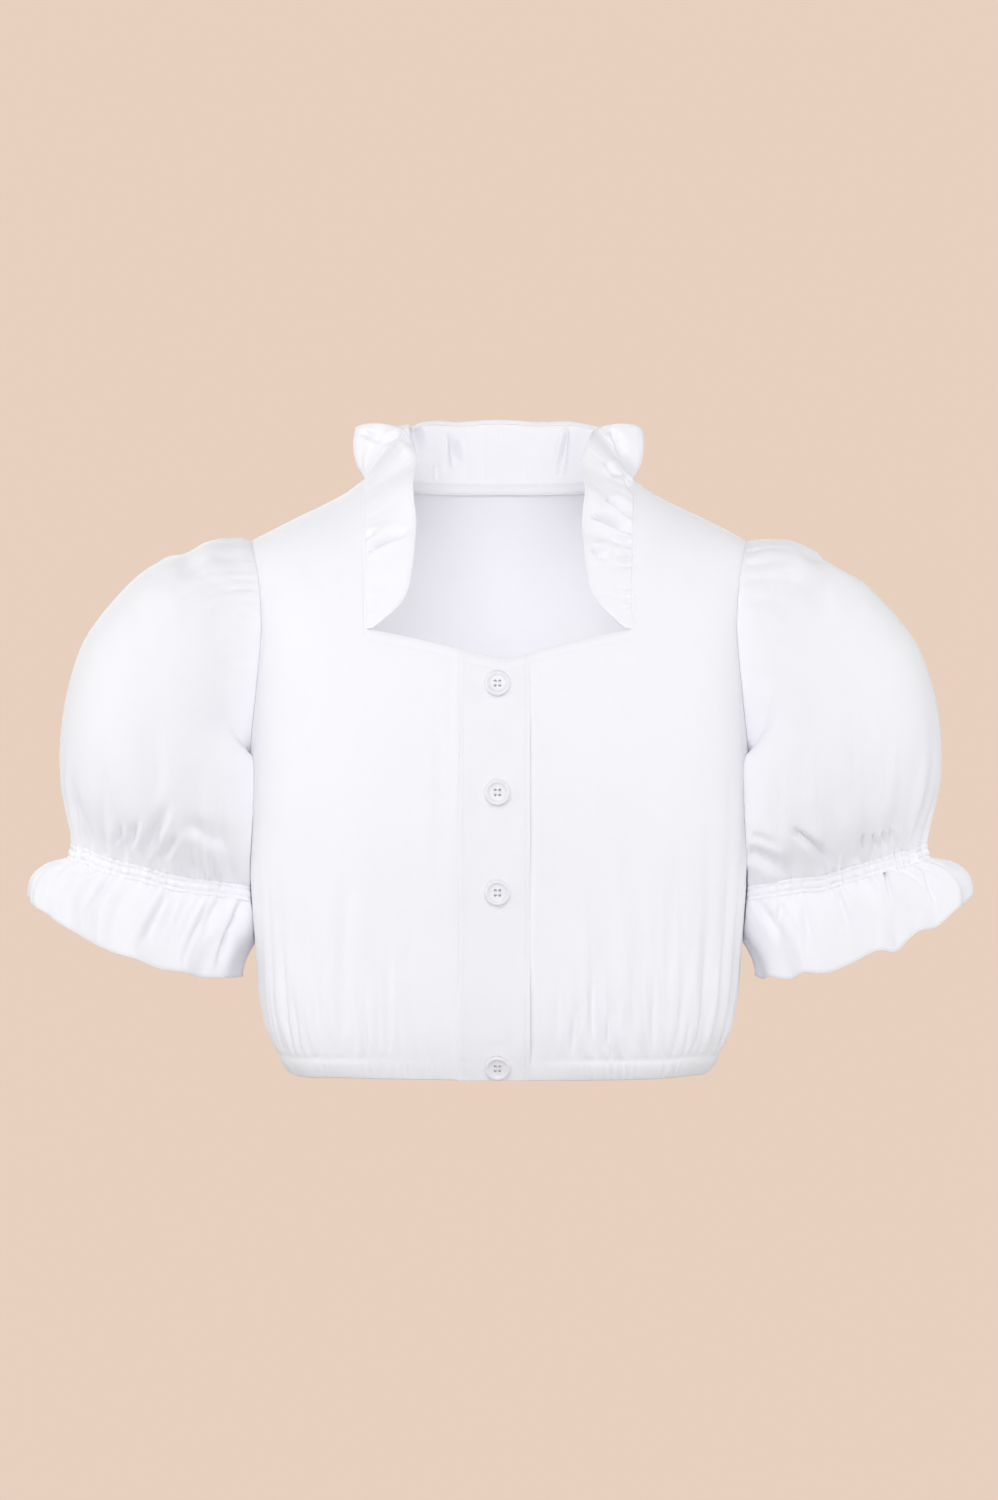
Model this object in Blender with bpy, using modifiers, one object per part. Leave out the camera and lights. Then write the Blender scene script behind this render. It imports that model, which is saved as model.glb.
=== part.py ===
"""Short peasant blouse with puff sleeves, a stand-up neck frill and an elastic hem.

Every cloth piece that a maker would cut is a wall of its own, filled out as if worn.
The origin is between the shoulders, at the height where they carry the neckline.
+X is the wearer's left, -Y the front, +Z up. Sizes are in millimetres up to the meshes.
"""

import math
from collections import namedtuple

import bmesh
import bpy
import numpy as np

MM = 0.001
CLOTH = 1.2  # wall of every cloth piece
SEAM_GAP = 0.3  # between two pieces that are sewn together, or lie on each other
WHITE_COTTON = (0.91, 0.91, 0.94, 1.0)
WHITE_PEARL = (0.86, 0.86, 0.88, 1.0)

# The torso: level rings, each two half superellipses that meet at the side seams.
Ring = namedtuple("Ring", "height half_width front back")
TORSO = (
    Ring(-402.0, 140.0, 101.0, 90.0),  # hem edge, drawn in by elastic
    Ring(-390.0, 148.0, 106.0, 95.0),  # top of the elastic casing
    Ring(-378.0, 154.0, 110.0, 98.5),  # the cloth blouses out over it
    Ring(-355.0, 160.0, 114.0, 101.5),
    Ring(-321.0, 163.5, 116.5, 103.0),
    Ring(-270.0, 168.0, 119.5, 104.0),
    Ring(-230.0, 169.5, 121.0, 104.5),  # bust
    Ring(-205.0, 169.5, 120.5, 104.5),  # underarm
    Ring(-150.0, 169.0, 113.0, 103.5),
    Ring(-104.0, 167.5, 101.0, 100.5),  # chest line, level with the neckline's corners
)
RING_POWER = 2.8  # 2 would be an ellipse, more is squarer
HEM, UNDERARM, CHEST = -402.0, -205.0, -104.0
BODY_ROWS = (HEM, -390.0, -378.0, -362.0, -340.0, -310.0, -275.0, -240.0, UNDERARM)
ARM_ROWS = 7  # rows of the panels from the underarm to the chest line
YOKE_ROWS = 5  # and from the chest line to the shoulder
FRONT_INNER, BACK_INNER, OUTER = 4, 4, 7  # columns of each half, below the neck and beside it

# The gathers over the elastic hem, as crests and troughs of neighbouring columns.
Gather = namedtuple("Gather", "height depth")
HEM_GATHERS = (
    Gather(-402.0, 0.6),
    Gather(-390.0, 0.9),
    Gather(-376.0, 2.0),
    Gather(-340.0, 1.6),
    Gather(-275.0, 0.0),
)

# The armhole: an upright oval in the side of the torso, up to the shoulder's end.
ARM_TOP, ARM_REACH, ARM_POWER = -42.0, 50.0, 2.2
SHOULDER_X, SHOULDER_Y = 168.0, 3.0
Drop = namedtuple("Drop", "x height")
SHOULDER = (
    Drop(91.0, 0.0),
    Drop(104.0, -9.5),
    Drop(119.0, -17.5),
    Drop(136.0, -25.5),
    Drop(153.0, -34.0),
    Drop(168.0, -42.0),
)

# The neckline: a wide square with a shallow heart-shaped lower edge.
NECK_X, NECK_CORNER_X = 91.0, 87.5  # at the shoulders, and at the front corners
HEART_DIP, HEART_MIDDLE, HEART_POWER, HEART_ROUND = 24.0, 3.0, 0.75, 6.0
BACK_NECK_Y, BACK_NECK_Z, BACK_NECK_POWER, BACK_NECK_FLAT = 72.0, -6.5, 2.6, 4.0

# The front closing: the wearer's right front laps over the left one.
PLACKET_RIGHT, PLACKET_LEFT = -25.5, 20.0
LAP = CLOTH + SEAM_GAP  # how far the upper layer lies in front of the lower one
LAP_FADE = 55.0  # width over which the right front comes back to the torso's ring
BAND_COLUMNS = 3

# The puff sleeve: oval rings through a point on its outer side and one on its inner side.
Oval = namedtuple("Oval", "outer_x outer_z inner_x inner_z depth gather")
SLEEVE = (
    Oval(168.0, -42.0, 169.5, -205.0, 50.0, 0.0),  # the armhole, which the panels replace
    Oval(192.0, -43.0, 174.0, -210.0, 60.0, 1.6),
    Oval(216.0, -51.0, 174.5, -217.0, 68.0, 1.3),
    Oval(243.0, -66.0, 174.0, -224.0, 73.0, 0.8),
    Oval(265.0, -87.0, 173.5, -232.0, 76.0, 0.0),
    Oval(283.0, -112.0, 173.0, -240.0, 77.0, 0.0),
    Oval(293.5, -143.0, 173.0, -248.0, 75.5, 0.4),
    Oval(298.5, -174.0, 173.0, -256.0, 71.0, 0.9),
    Oval(299.0, -202.0, 173.5, -263.0, 64.0, 1.4),
    Oval(295.0, -223.0, 174.5, -270.0, 54.0, 1.8),
    Oval(291.5, -238.0, 175.5, -276.5, 44.0, 1.5),
    Oval(290.0, -248.0, 177.0, -281.0, 37.0, 0.5),  # upper edge of the elastic
)
SLEEVE_ELASTIC = (
    Oval(290.0, -248.0, 177.0, -281.0, 37.0, 0.5),
    Oval(292.5, -258.0, 177.5, -291.0, 37.0, 0.5),
)

# The sleeve's frill flares from the elastic; its front and back hang lower than its sides.
Flare = namedtuple("Flare", "outer_x outer_z inner_x inner_z depth dip wave")
SLEEVE_FRILL = (
    Flare(292.5, -258.0, 177.5, -291.0, 37.0, 0.0, 0.0),
    Flare(308.0, -262.0, 176.5, -306.0, 44.0, 3.0, 1.4),
    Flare(318.0, -271.0, 176.0, -322.0, 50.0, 7.0, 2.4),
    Flare(320.0, -284.0, 175.5, -338.0, 55.0, 12.0, 3.6),
)
WAVE_COLUMNS = 4  # columns to each wave of the frill
SLEEVE_FRILL_STEPS = 2  # columns of the frill to each column of the elastic

# The neck frill: a strip that leans in over the front and stands up round the back.
Stand = namedtuple("Stand", "share width lean curl wave")
NECK_FRILL = (
    Stand(0.00, 4.0, -62.0, 0.0, 0.0),  # a front corner of the neckline
    Stand(0.045, 25.0, -60.0, 0.0, 0.3),
    Stand(0.11, 34.0, -58.0, 0.0, 0.8),
    Stand(0.28, 40.0, -54.0, 0.0, 1.8),
    Stand(0.42, 44.0, -46.0, 0.0, 2.4),
    Stand(0.50, 42.0, -34.0, -4.0, 2.4),
    Stand(0.58, 35.0, 38.0, -22.0, 1.2),  # a deep fold behind the shoulder seam
    Stand(0.66, 39.0, 16.0, -4.0, 2.0),
    Stand(0.80, 48.5, 8.0, 3.0, 2.2),
    Stand(1.00, 51.5, 5.0, 3.0, 1.8),  # the middle of the back
)
NECK_FRILL_START = 0.3  # share of the first column that is left free at the corner
NECK_FRILL_STEPS = 3  # columns of the frill to each column of the seam that it is sewn to
NECK_FRILL_ROWS = 3
NECK_WAVES = 6.5  # on each half
BINDING_FOOT, BINDING_HEIGHT, BINDING_CLOTH = 0.8, 6.0, 1.0

# Pressed pearl buttons with a raised rim, a dish and four holes.
BUTTON_HEIGHTS = (-141.0, -212.0, -277.5, -392.5)
BUTTON_X, BUTTON_RADIUS = -1.0, 8.6
Turn = namedtuple("Turn", "radius height")
BUTTON_PROFILE = (
    Turn(0.0, 2.0),
    Turn(5.2, 2.0),
    Turn(6.1, 3.0),
    Turn(7.6, 3.0),
    Turn(BUTTON_RADIUS, 1.7),
    Turn(7.8, 0.0),
    Turn(0.0, 0.0),
)
BUTTON_STEPS, HOLE_RADIUS, HOLE_SPREAD, HOLE_SIDES, HOLE_DEPTH = 16, 0.95, 2.1, 6, 12.0


def read(rows, column, at, key="height"):
    """A column of a table at any place along its key, on a smooth curve through the rows."""
    place = np.array([getattr(row, key) for row in rows])
    value = np.array([getattr(row, column) for row in rows])
    slope = np.gradient(value, place)
    at = np.clip(at, place[0], place[-1])
    low = np.clip(np.searchsorted(place, at) - 1, 0, len(place) - 2)
    step = place[low + 1] - place[low]
    t = (at - place[low]) / step
    return (
        value[low] * (1 + 2 * t) * (1 - t) ** 2
        + slope[low] * step * t * (1 - t) ** 2
        + value[low + 1] * t * t * (3 - 2 * t)
        + slope[low + 1] * step * t * t * (t - 1)
    )


def unit(vectors):
    return vectors / np.maximum(np.linalg.norm(vectors, axis=-1, keepdims=True), 1e-9)


def smooth(t):
    t = np.clip(t, 0, 1)
    return t * t * (3 - 2 * t)


def powered(value, power):
    """A sine or cosine raised for a superellipse, with its sign kept."""
    return np.sign(value) * np.abs(value) ** (2 / power)


def even_lengths(line, parts):
    """Points that cut a line into parts of equal length."""
    length = np.concatenate([[0], np.cumsum(np.linalg.norm(np.diff(line, axis=0), axis=-1))])
    at = np.linspace(0, length[-1], parts + 1)
    return np.stack([np.interp(at, length, line[:, k]) for k in range(line.shape[1])], axis=-1)


def finer(line, steps):
    """The same broken line, with each of its lengths cut into steps."""
    at = np.arange(steps * (len(line) - 1) + 1) / steps
    return np.stack([np.interp(at, np.arange(len(line)), line[:, k]) for k in range(3)], axis=-1)


def drawn_back(seam, one, other, closed=False):
    """How far two walls draw back from their seam to stay SEAM_GAP apart.

    one and other are points inside each wall, next to the seam's points."""
    along = np.gradient(seam, axis=0)
    if closed:
        along[0] = along[-1] = seam[1] - seam[-2]
    along = unit(along)
    inward = []
    for inside in (one, other):
        away = inside - seam
        inward.append(unit(away - (away * along).sum(-1, keepdims=True) * along))
    half = 0.5 * np.arccos(np.clip((inward[0] * inward[1]).sum(-1, keepdims=True), -1, 1))
    back = 0.5 * SEAM_GAP / np.sin(half) + 0.5 * CLOTH / np.tan(half)
    return back * inward[0], back * inward[1]


def armhole(angle):
    """Height of the armhole and its reach from the side seam's plane; 0 is its top, pi its bottom."""
    middle, half = (ARM_TOP + UNDERARM) / 2, (ARM_TOP - UNDERARM) / 2
    height = middle + half * powered(np.cos(angle), ARM_POWER)
    return height, ARM_REACH * np.abs(powered(np.sin(angle), ARM_POWER))


def arm_angles():
    """The armhole's angles at the panels' rows, from the underarm up to the shoulder."""
    middle, half = (ARM_TOP + UNDERARM) / 2, (ARM_TOP - UNDERARM) / 2
    at_chest = math.acos(((CHEST - middle) / half) ** (ARM_POWER / 2))
    lower = np.linspace(math.pi, at_chest, ARM_ROWS + 1)
    return np.concatenate([lower, np.linspace(at_chest, 0, YOKE_ROWS + 1)[1:]])


def panel_heights():
    """Heights of the panels' rows, from the hem to the chest line."""
    return np.concatenate([BODY_ROWS, armhole(arm_angles())[0][1 : ARM_ROWS + 1]])


def neckline(x):
    """Height of the front neckline's lower edge."""
    aside = np.hypot(x - HEART_MIDDLE, HEART_ROUND)
    half = np.hypot(NECK_CORNER_X - np.sign(x) * HEART_MIDDLE, HEART_ROUND)
    return CHEST - HEART_DIP * (1 - (aside / half) ** HEART_POWER)


def raised_heights(heights, top):
    """Heights of the rows below a top edge, which rise towards it above the underarm."""
    share = np.maximum(heights - UNDERARM, 0) / (CHEST - UNDERARM)
    return heights[:, None] + share[:, None] * (top - CHEST)


def torso_y(x, height, face):
    """Where the torso's surface is at x and a height; face is "front" or "back"."""
    share = np.clip(np.abs(x) / read(TORSO, "half_width", height), 0, 1)
    depth = read(TORSO, face, height) * (1 - share**RING_POWER) ** (1 / RING_POWER)
    return depth * (-1 if face == "front" else 1)


def ring_side(height, face, from_x, reach):
    """Points round one ring, from from_x to reach in front of or behind the side seam."""
    angle = np.linspace(0, math.pi / 2, 241)
    x = read(TORSO, "half_width", height) * powered(np.sin(angle), RING_POWER)
    y = read(TORSO, face, height) * powered(np.cos(angle), RING_POWER)
    length = np.concatenate([[0], np.cumsum(np.hypot(np.diff(x), np.diff(y)))])
    at = np.linspace(np.interp(from_x, x, length), np.interp(-reach, -y, length), OUTER + 1)
    y = np.interp(at, length, y) * (-1 if face == "front" else 1)
    return np.stack([np.interp(at, length, x), y, np.full_like(y, height)], axis=-1)


def panel(face, from_x, turn_x, inner, top):
    """Rows of points on half a body panel, up to the chest line.

    The inner columns run up to the top line, the outer ones go on over the yoke."""
    heights = panel_heights()
    reach = np.zeros(len(heights))
    reach[len(BODY_ROWS) :] = armhole(arm_angles())[1][1 : ARM_ROWS + 1]
    x = np.linspace(from_x, turn_x, inner + 1)
    points = np.zeros((len(heights), inner + OUTER + 1, 3))
    z = raised_heights(heights, top)
    wide = np.broadcast_to(x, z.shape)
    points[:, : inner + 1] = np.stack([wide, torso_y(wide, z, face), z], axis=-1)
    for row, height in enumerate(heights):
        points[row, inner:] = ring_side(height, face, turn_x, reach[row])
    crest = (-1.0) ** np.arange(points.shape[1])
    crest[[0, inner, -1]] = 0
    gathers = read(HEM_GATHERS, "depth", points[..., 2]) * crest
    return points + unit(points * [1, 1, 0]) * gathers[..., None]


def with_yoke(points, face, ends, end_pull):
    """Adds the rows above the chest line, as curves that end on the neck and shoulder seams."""
    start, before = points[-1, -len(ends) :], points[-2, -len(ends) :]
    reach = np.linalg.norm(ends - start, axis=-1, keepdims=True)
    start_pull = unit(start - before) * reach
    heights, reaches = armhole(arm_angles()[ARM_ROWS:])
    share = np.concatenate([np.zeros(len(ends) - OUTER - 1), np.linspace(0, 1, OUTER + 1)])
    rows = [points]
    for row in range(1, YOKE_ROWS + 1):
        t = row / YOKE_ROWS
        curve = (
            start * (1 + 2 * t) * (1 - t) ** 2
            + start_pull * t * (1 - t) ** 2
            + ends * t * t * (3 - 2 * t)
            + end_pull * reach * t * t * (t - 1)
        )
        edge_x = start[-1, 0] + (SHOULDER_X - start[-1, 0]) * smooth(t)
        edge_y = reaches[row] * (-1 if face == "front" else 1) + SHOULDER_Y * t
        to_edge = np.array([edge_x, edge_y, heights[row]]) - curve[-1]
        full = points[-1:].copy()
        full[0, -len(ends) :] = curve + share[:, None] ** 2 * to_edge
        rows.append(full)
    return np.concatenate(rows)


def shoulder_seam():
    """The shoulder seam from the neck to the armhole."""
    share = np.linspace(0, 1, OUTER + 1)
    x = NECK_X + (SHOULDER_X - NECK_X) * share
    return np.stack([x, SHOULDER_Y * share, read(SHOULDER, "height", x, key="x")], axis=-1)


def back_neck_seam():
    """The back neck seam from its middle to the shoulder."""
    angle = np.linspace(0, math.pi / 2, 241)
    x = NECK_X * powered(np.sin(angle), BACK_NECK_POWER)
    y = BACK_NECK_Y * powered(np.cos(angle), BACK_NECK_POWER)
    line = np.stack([x, y, BACK_NECK_Z * (1 - (x / NECK_X) ** BACK_NECK_FLAT)], axis=-1)
    return even_lengths(line, BACK_INNER)


def front_panel(side):
    """Half the front at x above 0; side is -1 for the wearer's right one, 1 for the left one."""
    from_x = (-PLACKET_RIGHT if side < 0 else PLACKET_LEFT) + SEAM_GAP / 2
    top = neckline(side * np.linspace(from_x, NECK_CORNER_X, FRONT_INNER + 1))
    points = panel("front", from_x, NECK_CORNER_X, FRONT_INNER, top)
    points = with_yoke(points, "front", shoulder_seam(), np.array([0.0, 1.0, 0.0]))
    if side < 0:
        points[..., 1] -= LAP * (1 - smooth((points[..., 0] - from_x) / LAP_FADE))
    return points


def back_panel():
    """Half the back at x above 0."""
    points = panel("back", 0.0, NECK_X, BACK_INNER, np.full(BACK_INNER + 1, CHEST))
    ends = np.concatenate([back_neck_seam(), shoulder_seam()[1:]])
    turned = smooth(np.linspace(0, 1, BACK_INNER + 1))[:, None]
    neck_pull = unit((1 - turned) * [0.0, -0.45, 0.9] + turned * [0.0, -1.0, 0.0])
    pull = np.concatenate([neck_pull, np.tile([0.0, -1.0, 0.0], (OUTER, 1))])
    return with_yoke(points, "back", ends, pull)


def band(lift, left_edge):
    """A front band over the whole height of the closing, lift in front of the torso's ring."""
    x = np.linspace(PLACKET_RIGHT + SEAM_GAP / 2, left_edge, BAND_COLUMNS + 1)
    z = raised_heights(panel_heights(), neckline(x))
    wide = np.broadcast_to(x, z.shape)
    return np.stack([wide, torso_y(wide, z, "front") - lift, z], axis=-1)


def oval_rings(table, angles):
    """Rings of a sleeve; angle 0 is their outer side, a quarter turn their front."""
    across, sideways = powered(np.cos(angles), ARM_POWER), powered(np.sin(angles), ARM_POWER)
    rings = []
    for row in table:
        outer, inner = np.array([row.outer_x, 0, row.outer_z]), np.array([row.inner_x, 0, row.inner_z])
        ring = (outer + inner) / 2 + across[:, None] * (outer - inner) / 2
        ring[:, 1] += SHOULDER_Y - row.depth * sideways
        rings.append(ring)
    return np.stack(rings)


def rippled(rings, depths, ripple):
    """Rings with each point moved away from its ring's middle by the ring's depth and the ripple."""
    away = unit(rings - rings[:, :-1].mean(axis=1, keepdims=True))
    return rings + away * (np.array(depths)[:, None] * ripple)[..., None]


def neck_frill(base):
    """Rows of points that rise from half the neck seam, from its front corner to the middle of the back."""
    along = np.gradient(base, axis=0)
    along[-1] = (-1, 0, 0)
    along = unit(along)
    out = unit(np.cross(along, [0.0, 0.0, 1.0]))
    up = np.cross(out, along)
    length = np.concatenate([[0], np.cumsum(np.linalg.norm(np.diff(base, axis=0), axis=-1))])
    share = length / length[-1]
    width, lean, curl, wave = (
        read(NECK_FRILL, column, share, key="share")[:, None] for column in ("width", "lean", "curl", "wave")
    )
    ripple = wave * np.cos(2 * math.pi * NECK_WAVES * share)[:, None]
    rows, place = [base], base
    for row in range(1, NECK_FRILL_ROWS + 1):
        high = row / NECK_FRILL_ROWS
        angle = np.radians(lean + curl * (2 * high - 1 / NECK_FRILL_ROWS))
        rise, facing = np.cos(angle) * up + np.sin(angle) * out, np.cos(angle) * out - np.sin(angle) * up
        place = place + width / NECK_FRILL_ROWS * rise
        rows.append(place + high**1.5 * ripple * facing)
    return np.stack(rows)


def half_blouse(side):
    """The cloth of one half at x above 0, with its pieces drawn back from their seams."""
    front, back = front_panel(side), back_panel()
    front_back, back_back = np.zeros_like(front), np.zeros_like(back)
    arm = len(BODY_ROWS) - 1
    chest = arm + ARM_ROWS

    one, other = drawn_back(front[: arm + 1, -1], front[: arm + 1, -2], back[: arm + 1, -2])
    front_back[: arm + 1, -1] += one
    back_back[: arm + 1, -1] += other

    seam = front[-1, FRONT_INNER:]
    one, other = drawn_back(seam, front[-2, FRONT_INNER:], back[-2, BACK_INNER:])
    front_back[-1, FRONT_INNER:] += one
    back_back[-1, BACK_INNER:] += other

    seam = np.concatenate([front[arm:, -1][::-1], back[arm + 1 :, -1]])
    inside = np.concatenate([front[arm - 1 : -1, -2][::-1], back[arm:-1, -2]])
    angles = np.concatenate([arm_angles()[::-1], 2 * math.pi - arm_angles()[1:]])
    crest = (-1.0) ** np.arange(len(angles))
    sleeve = rippled(oval_rings(SLEEVE, angles), [row.gather for row in SLEEVE], crest)
    sleeve[0] = seam
    one, other = drawn_back(seam, inside, sleeve[1], closed=True)
    sleeve[0] += other
    rows = len(front) - arm
    front_back[arm:, -1] += one[:rows][::-1]
    back_back[arm:, -1] += one[rows - 1 :]

    elastic = rippled(oval_rings(SLEEVE_ELASTIC, angles), [row.gather for row in SLEEVE_ELASTIC], crest)
    one, other = drawn_back(sleeve[-1], sleeve[-2], elastic[1], closed=True)
    fine = np.arange(SLEEVE_FRILL_STEPS * (len(angles) - 1) + 1)
    fine_angles = np.interp(fine / SLEEVE_FRILL_STEPS, np.arange(len(angles)), angles)
    frill = oval_rings(SLEEVE_FRILL, fine_angles)
    frill[..., 2] -= np.array([row.dip for row in SLEEVE_FRILL])[:, None] * np.sin(fine_angles) ** 2
    ripple = np.cos(2 * math.pi * fine / WAVE_COLUMNS)
    frill = rippled(frill, [row.wave for row in SLEEVE_FRILL], ripple)
    frill_one, frill_other = drawn_back(elastic[1], elastic[0], frill[1][::SLEEVE_FRILL_STEPS], closed=True)
    frill[0] = finer(elastic[1] + frill_other, SLEEVE_FRILL_STEPS)
    sleeve[-1] += one
    elastic += np.stack([other, frill_one])

    seam = np.concatenate([front[chest:, FRONT_INNER], back[-1, :BACK_INNER][::-1]])
    inside = np.concatenate([front[chest - 1 : -1, FRONT_INNER + 1], back[-2, :BACK_INNER][::-1]])
    base = finer(seam, NECK_FRILL_STEPS)
    base[0] += NECK_FRILL_START * (base[1] - base[0])
    collar = neck_frill(base)
    one, other = drawn_back(seam, inside, collar[1][::NECK_FRILL_STEPS])
    front_back[chest:, FRONT_INNER] += one[: YOKE_ROWS + 1]
    back_back[-1, : BACK_INNER + 1] += one[YOKE_ROWS:][::-1]
    back_back[:, 0, 0] = 0
    collar[0] += finer(other, NECK_FRILL_STEPS)
    collar[:, -1, 0] = 0
    return {
        "front": front + front_back,
        "back": back + back_back,
        "sleeve": sleeve,
        "sleeve_elastic": elastic,
        "sleeve_frill": frill,
        "collar": collar,
    }


def binding(collar):
    """A strip over the back neck seam, along the inner face of the frill's foot."""
    behind = collar[:, NECK_FRILL_STEPS * (YOKE_ROWS + 1) :]
    foot, rise = behind[0], behind[1] - behind[0]
    along = np.gradient(foot, axis=0)
    along[-1] = (-1, 0, 0)
    inward = -unit(np.cross(along, unit(rise)))
    inward *= np.sign((inward * -foot).sum(-1, keepdims=True))
    clear = CLOTH / 2 + 2 * SEAM_GAP + BINDING_CLOTH / 2
    heights = (BINDING_FOOT, BINDING_FOOT + BINDING_HEIGHT)
    strip = np.stack([foot + unit(rise) * height + inward * clear for height in heights])
    strip[:, -1, 0] = 0
    return strip


def material(name, colour, roughness):
    made = bpy.data.materials.new(name)
    made.use_nodes = True
    shader = made.node_tree.nodes["Principled BSDF"]
    shader.inputs["Base Color"].default_value = colour
    shader.inputs["Roughness"].default_value = roughness
    shader.inputs["Metallic"].default_value = 0.0
    return made


def cloth(name, points, thickness=CLOTH, mirror=False, cut_out=(None, 0)):
    """A wall on a grid of points; cut_out leaves out the rows above one, up to a column."""
    rows, columns = points.shape[:2]
    grid = bmesh.new()
    bmesh.ops.create_grid(grid, x_segments=columns - 1, y_segments=rows - 1, size=1)
    left_out = []
    for vertex in grid.verts:
        column = round((vertex.co.x + 1) / 2 * (columns - 1))
        row = round((vertex.co.y + 1) / 2 * (rows - 1))
        vertex.co = points[row, column] * MM
        if cut_out[0] is not None and row > cut_out[0] and column < cut_out[1]:
            left_out.append(vertex)
    bmesh.ops.delete(grid, geom=left_out, context="VERTS")
    bmesh.ops.remove_doubles(grid, verts=grid.verts, dist=0.01 * MM)
    mesh = bpy.data.meshes.new(name)
    grid.to_mesh(mesh)
    grid.free()
    mesh.shade_smooth()
    mesh.materials.append(COTTON)
    made = bpy.data.objects.new(name, mesh)
    BLOUSE.objects.link(made)
    if mirror:
        other_half = made.modifiers.new("other half", "MIRROR")
        other_half.merge_threshold = 0.01 * MM
    wall = made.modifiers.new("wall", "SOLIDIFY")
    wall.thickness = thickness * MM
    wall.offset = 0
    wall.use_even_offset = True


def button_mesh():
    """A turned button that lies on its back, with four holes through its dish."""
    profile = bmesh.new()
    ring = [profile.verts.new((turn.radius * MM, 0, turn.height * MM)) for turn in BUTTON_PROFILE]
    for one, other in zip(ring, ring[1:]):
        profile.edges.new((one, other))
    mesh = bpy.data.meshes.new("button")
    profile.to_mesh(mesh)
    profile.free()
    blank = bpy.data.objects.new("button_blank", mesh)
    CUTTERS.objects.link(blank)
    turned = blank.modifiers.new("turn", "SCREW")
    turned.steps = turned.render_steps = BUTTON_STEPS
    turned.use_merge_vertices = True
    turned.merge_threshold = 0.01 * MM
    drills = bmesh.new()
    for corner in range(4):
        angle = (corner + 0.5) * math.pi / 2
        sizes = {"segments": HOLE_SIDES, "radius1": HOLE_RADIUS * MM, "radius2": HOLE_RADIUS * MM}
        drill = bmesh.ops.create_cone(drills, cap_ends=True, depth=HOLE_DEPTH * MM, **sizes)
        place = (HOLE_SPREAD * math.cos(angle) * MM, HOLE_SPREAD * math.sin(angle) * MM, 0)
        bmesh.ops.translate(drills, verts=drill["verts"], vec=place)
    drill_mesh = bpy.data.meshes.new("button_drills")
    drills.to_mesh(drill_mesh)
    drills.free()
    cutter = bpy.data.objects.new("button_drills", drill_mesh)
    cutter.display_type = "WIRE"
    cutter.hide_render = True
    CUTTERS.objects.link(cutter)
    holes = blank.modifiers.new("holes", "BOOLEAN")
    holes.object = cutter
    holes.operation = "DIFFERENCE"
    graph = bpy.context.evaluated_depsgraph_get()
    made = bpy.data.meshes.new_from_object(blank.evaluated_get(graph))
    bpy.data.objects.remove(blank)
    made.materials.clear()
    made.materials.append(PEARL)
    return made


def place_buttons():
    """Buttons that lie on the placket, each tilted as the placket is there."""
    mesh = button_mesh()
    for number, height in enumerate(BUTTON_HEIGHTS, start=1):
        z = np.array([height - BUTTON_RADIUS, height, height + BUTTON_RADIUS])
        below, middle, above = torso_y(np.full(3, BUTTON_X), z, "front")
        tilt = math.atan2(above - below, z[2] - z[0])
        hollow = max(0.0, middle - (above + below) / 2)
        out = LAP + CLOTH / 2 + SEAM_GAP + hollow
        made = bpy.data.objects.new(f"button_{number}", mesh)
        made.location = (
            BUTTON_X * MM,
            (middle - out * math.cos(tilt)) * MM,
            (height + out * math.sin(tilt)) * MM,
        )
        made.rotation_euler = (math.pi / 2 - tilt, 0, 0)
        BLOUSE.objects.link(made)


def build():
    chest = len(BODY_ROWS) - 1 + ARM_ROWS
    for side, name in ((-1, "right"), (1, "left")):
        pieces = half_blouse(side)
        for label in ("front", "sleeve", "sleeve_elastic", "sleeve_frill"):
            cut_out = (chest, FRONT_INNER) if label == "front" else (None, 0)
            cloth(f"{label}_{name}", pieces[label] * [side, 1, 1], cut_out=cut_out)
    cloth("back", pieces["back"], mirror=True)
    cloth("collar_frill", pieces["collar"], mirror=True)
    cloth("neck_binding", binding(pieces["collar"]), thickness=BINDING_CLOTH, mirror=True)
    cloth("placket_band", band(LAP, PLACKET_LEFT))
    cloth("button_band", band(0.0, PLACKET_LEFT - SEAM_GAP / 2))
    place_buttons()


for leftover in list(bpy.data.objects):
    bpy.data.objects.remove(leftover)
BLOUSE = bpy.data.collections.new("peasant_blouse")
CUTTERS = bpy.data.collections.new("cutters")
for collection in (BLOUSE, CUTTERS):
    bpy.context.scene.collection.children.link(collection)
COTTON = material("white cotton", WHITE_COTTON, 0.85)
PEARL = material("white pearl", WHITE_PEARL, 0.3)
build()
bpy.context.view_layer.update()
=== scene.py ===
"""A short white peasant blouse with puff sleeves, a stand-up neck frill and an elastic hem.

Sizes are in millimetres up to the meshes, which are in metres in the CAD model's frame:
+X is the wearer's left, -Y the front, +Z up, and the origin lies between the shoulders.
"""

import math
from collections import namedtuple

import bmesh
import bpy
import numpy as np
from mathutils import Matrix


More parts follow.
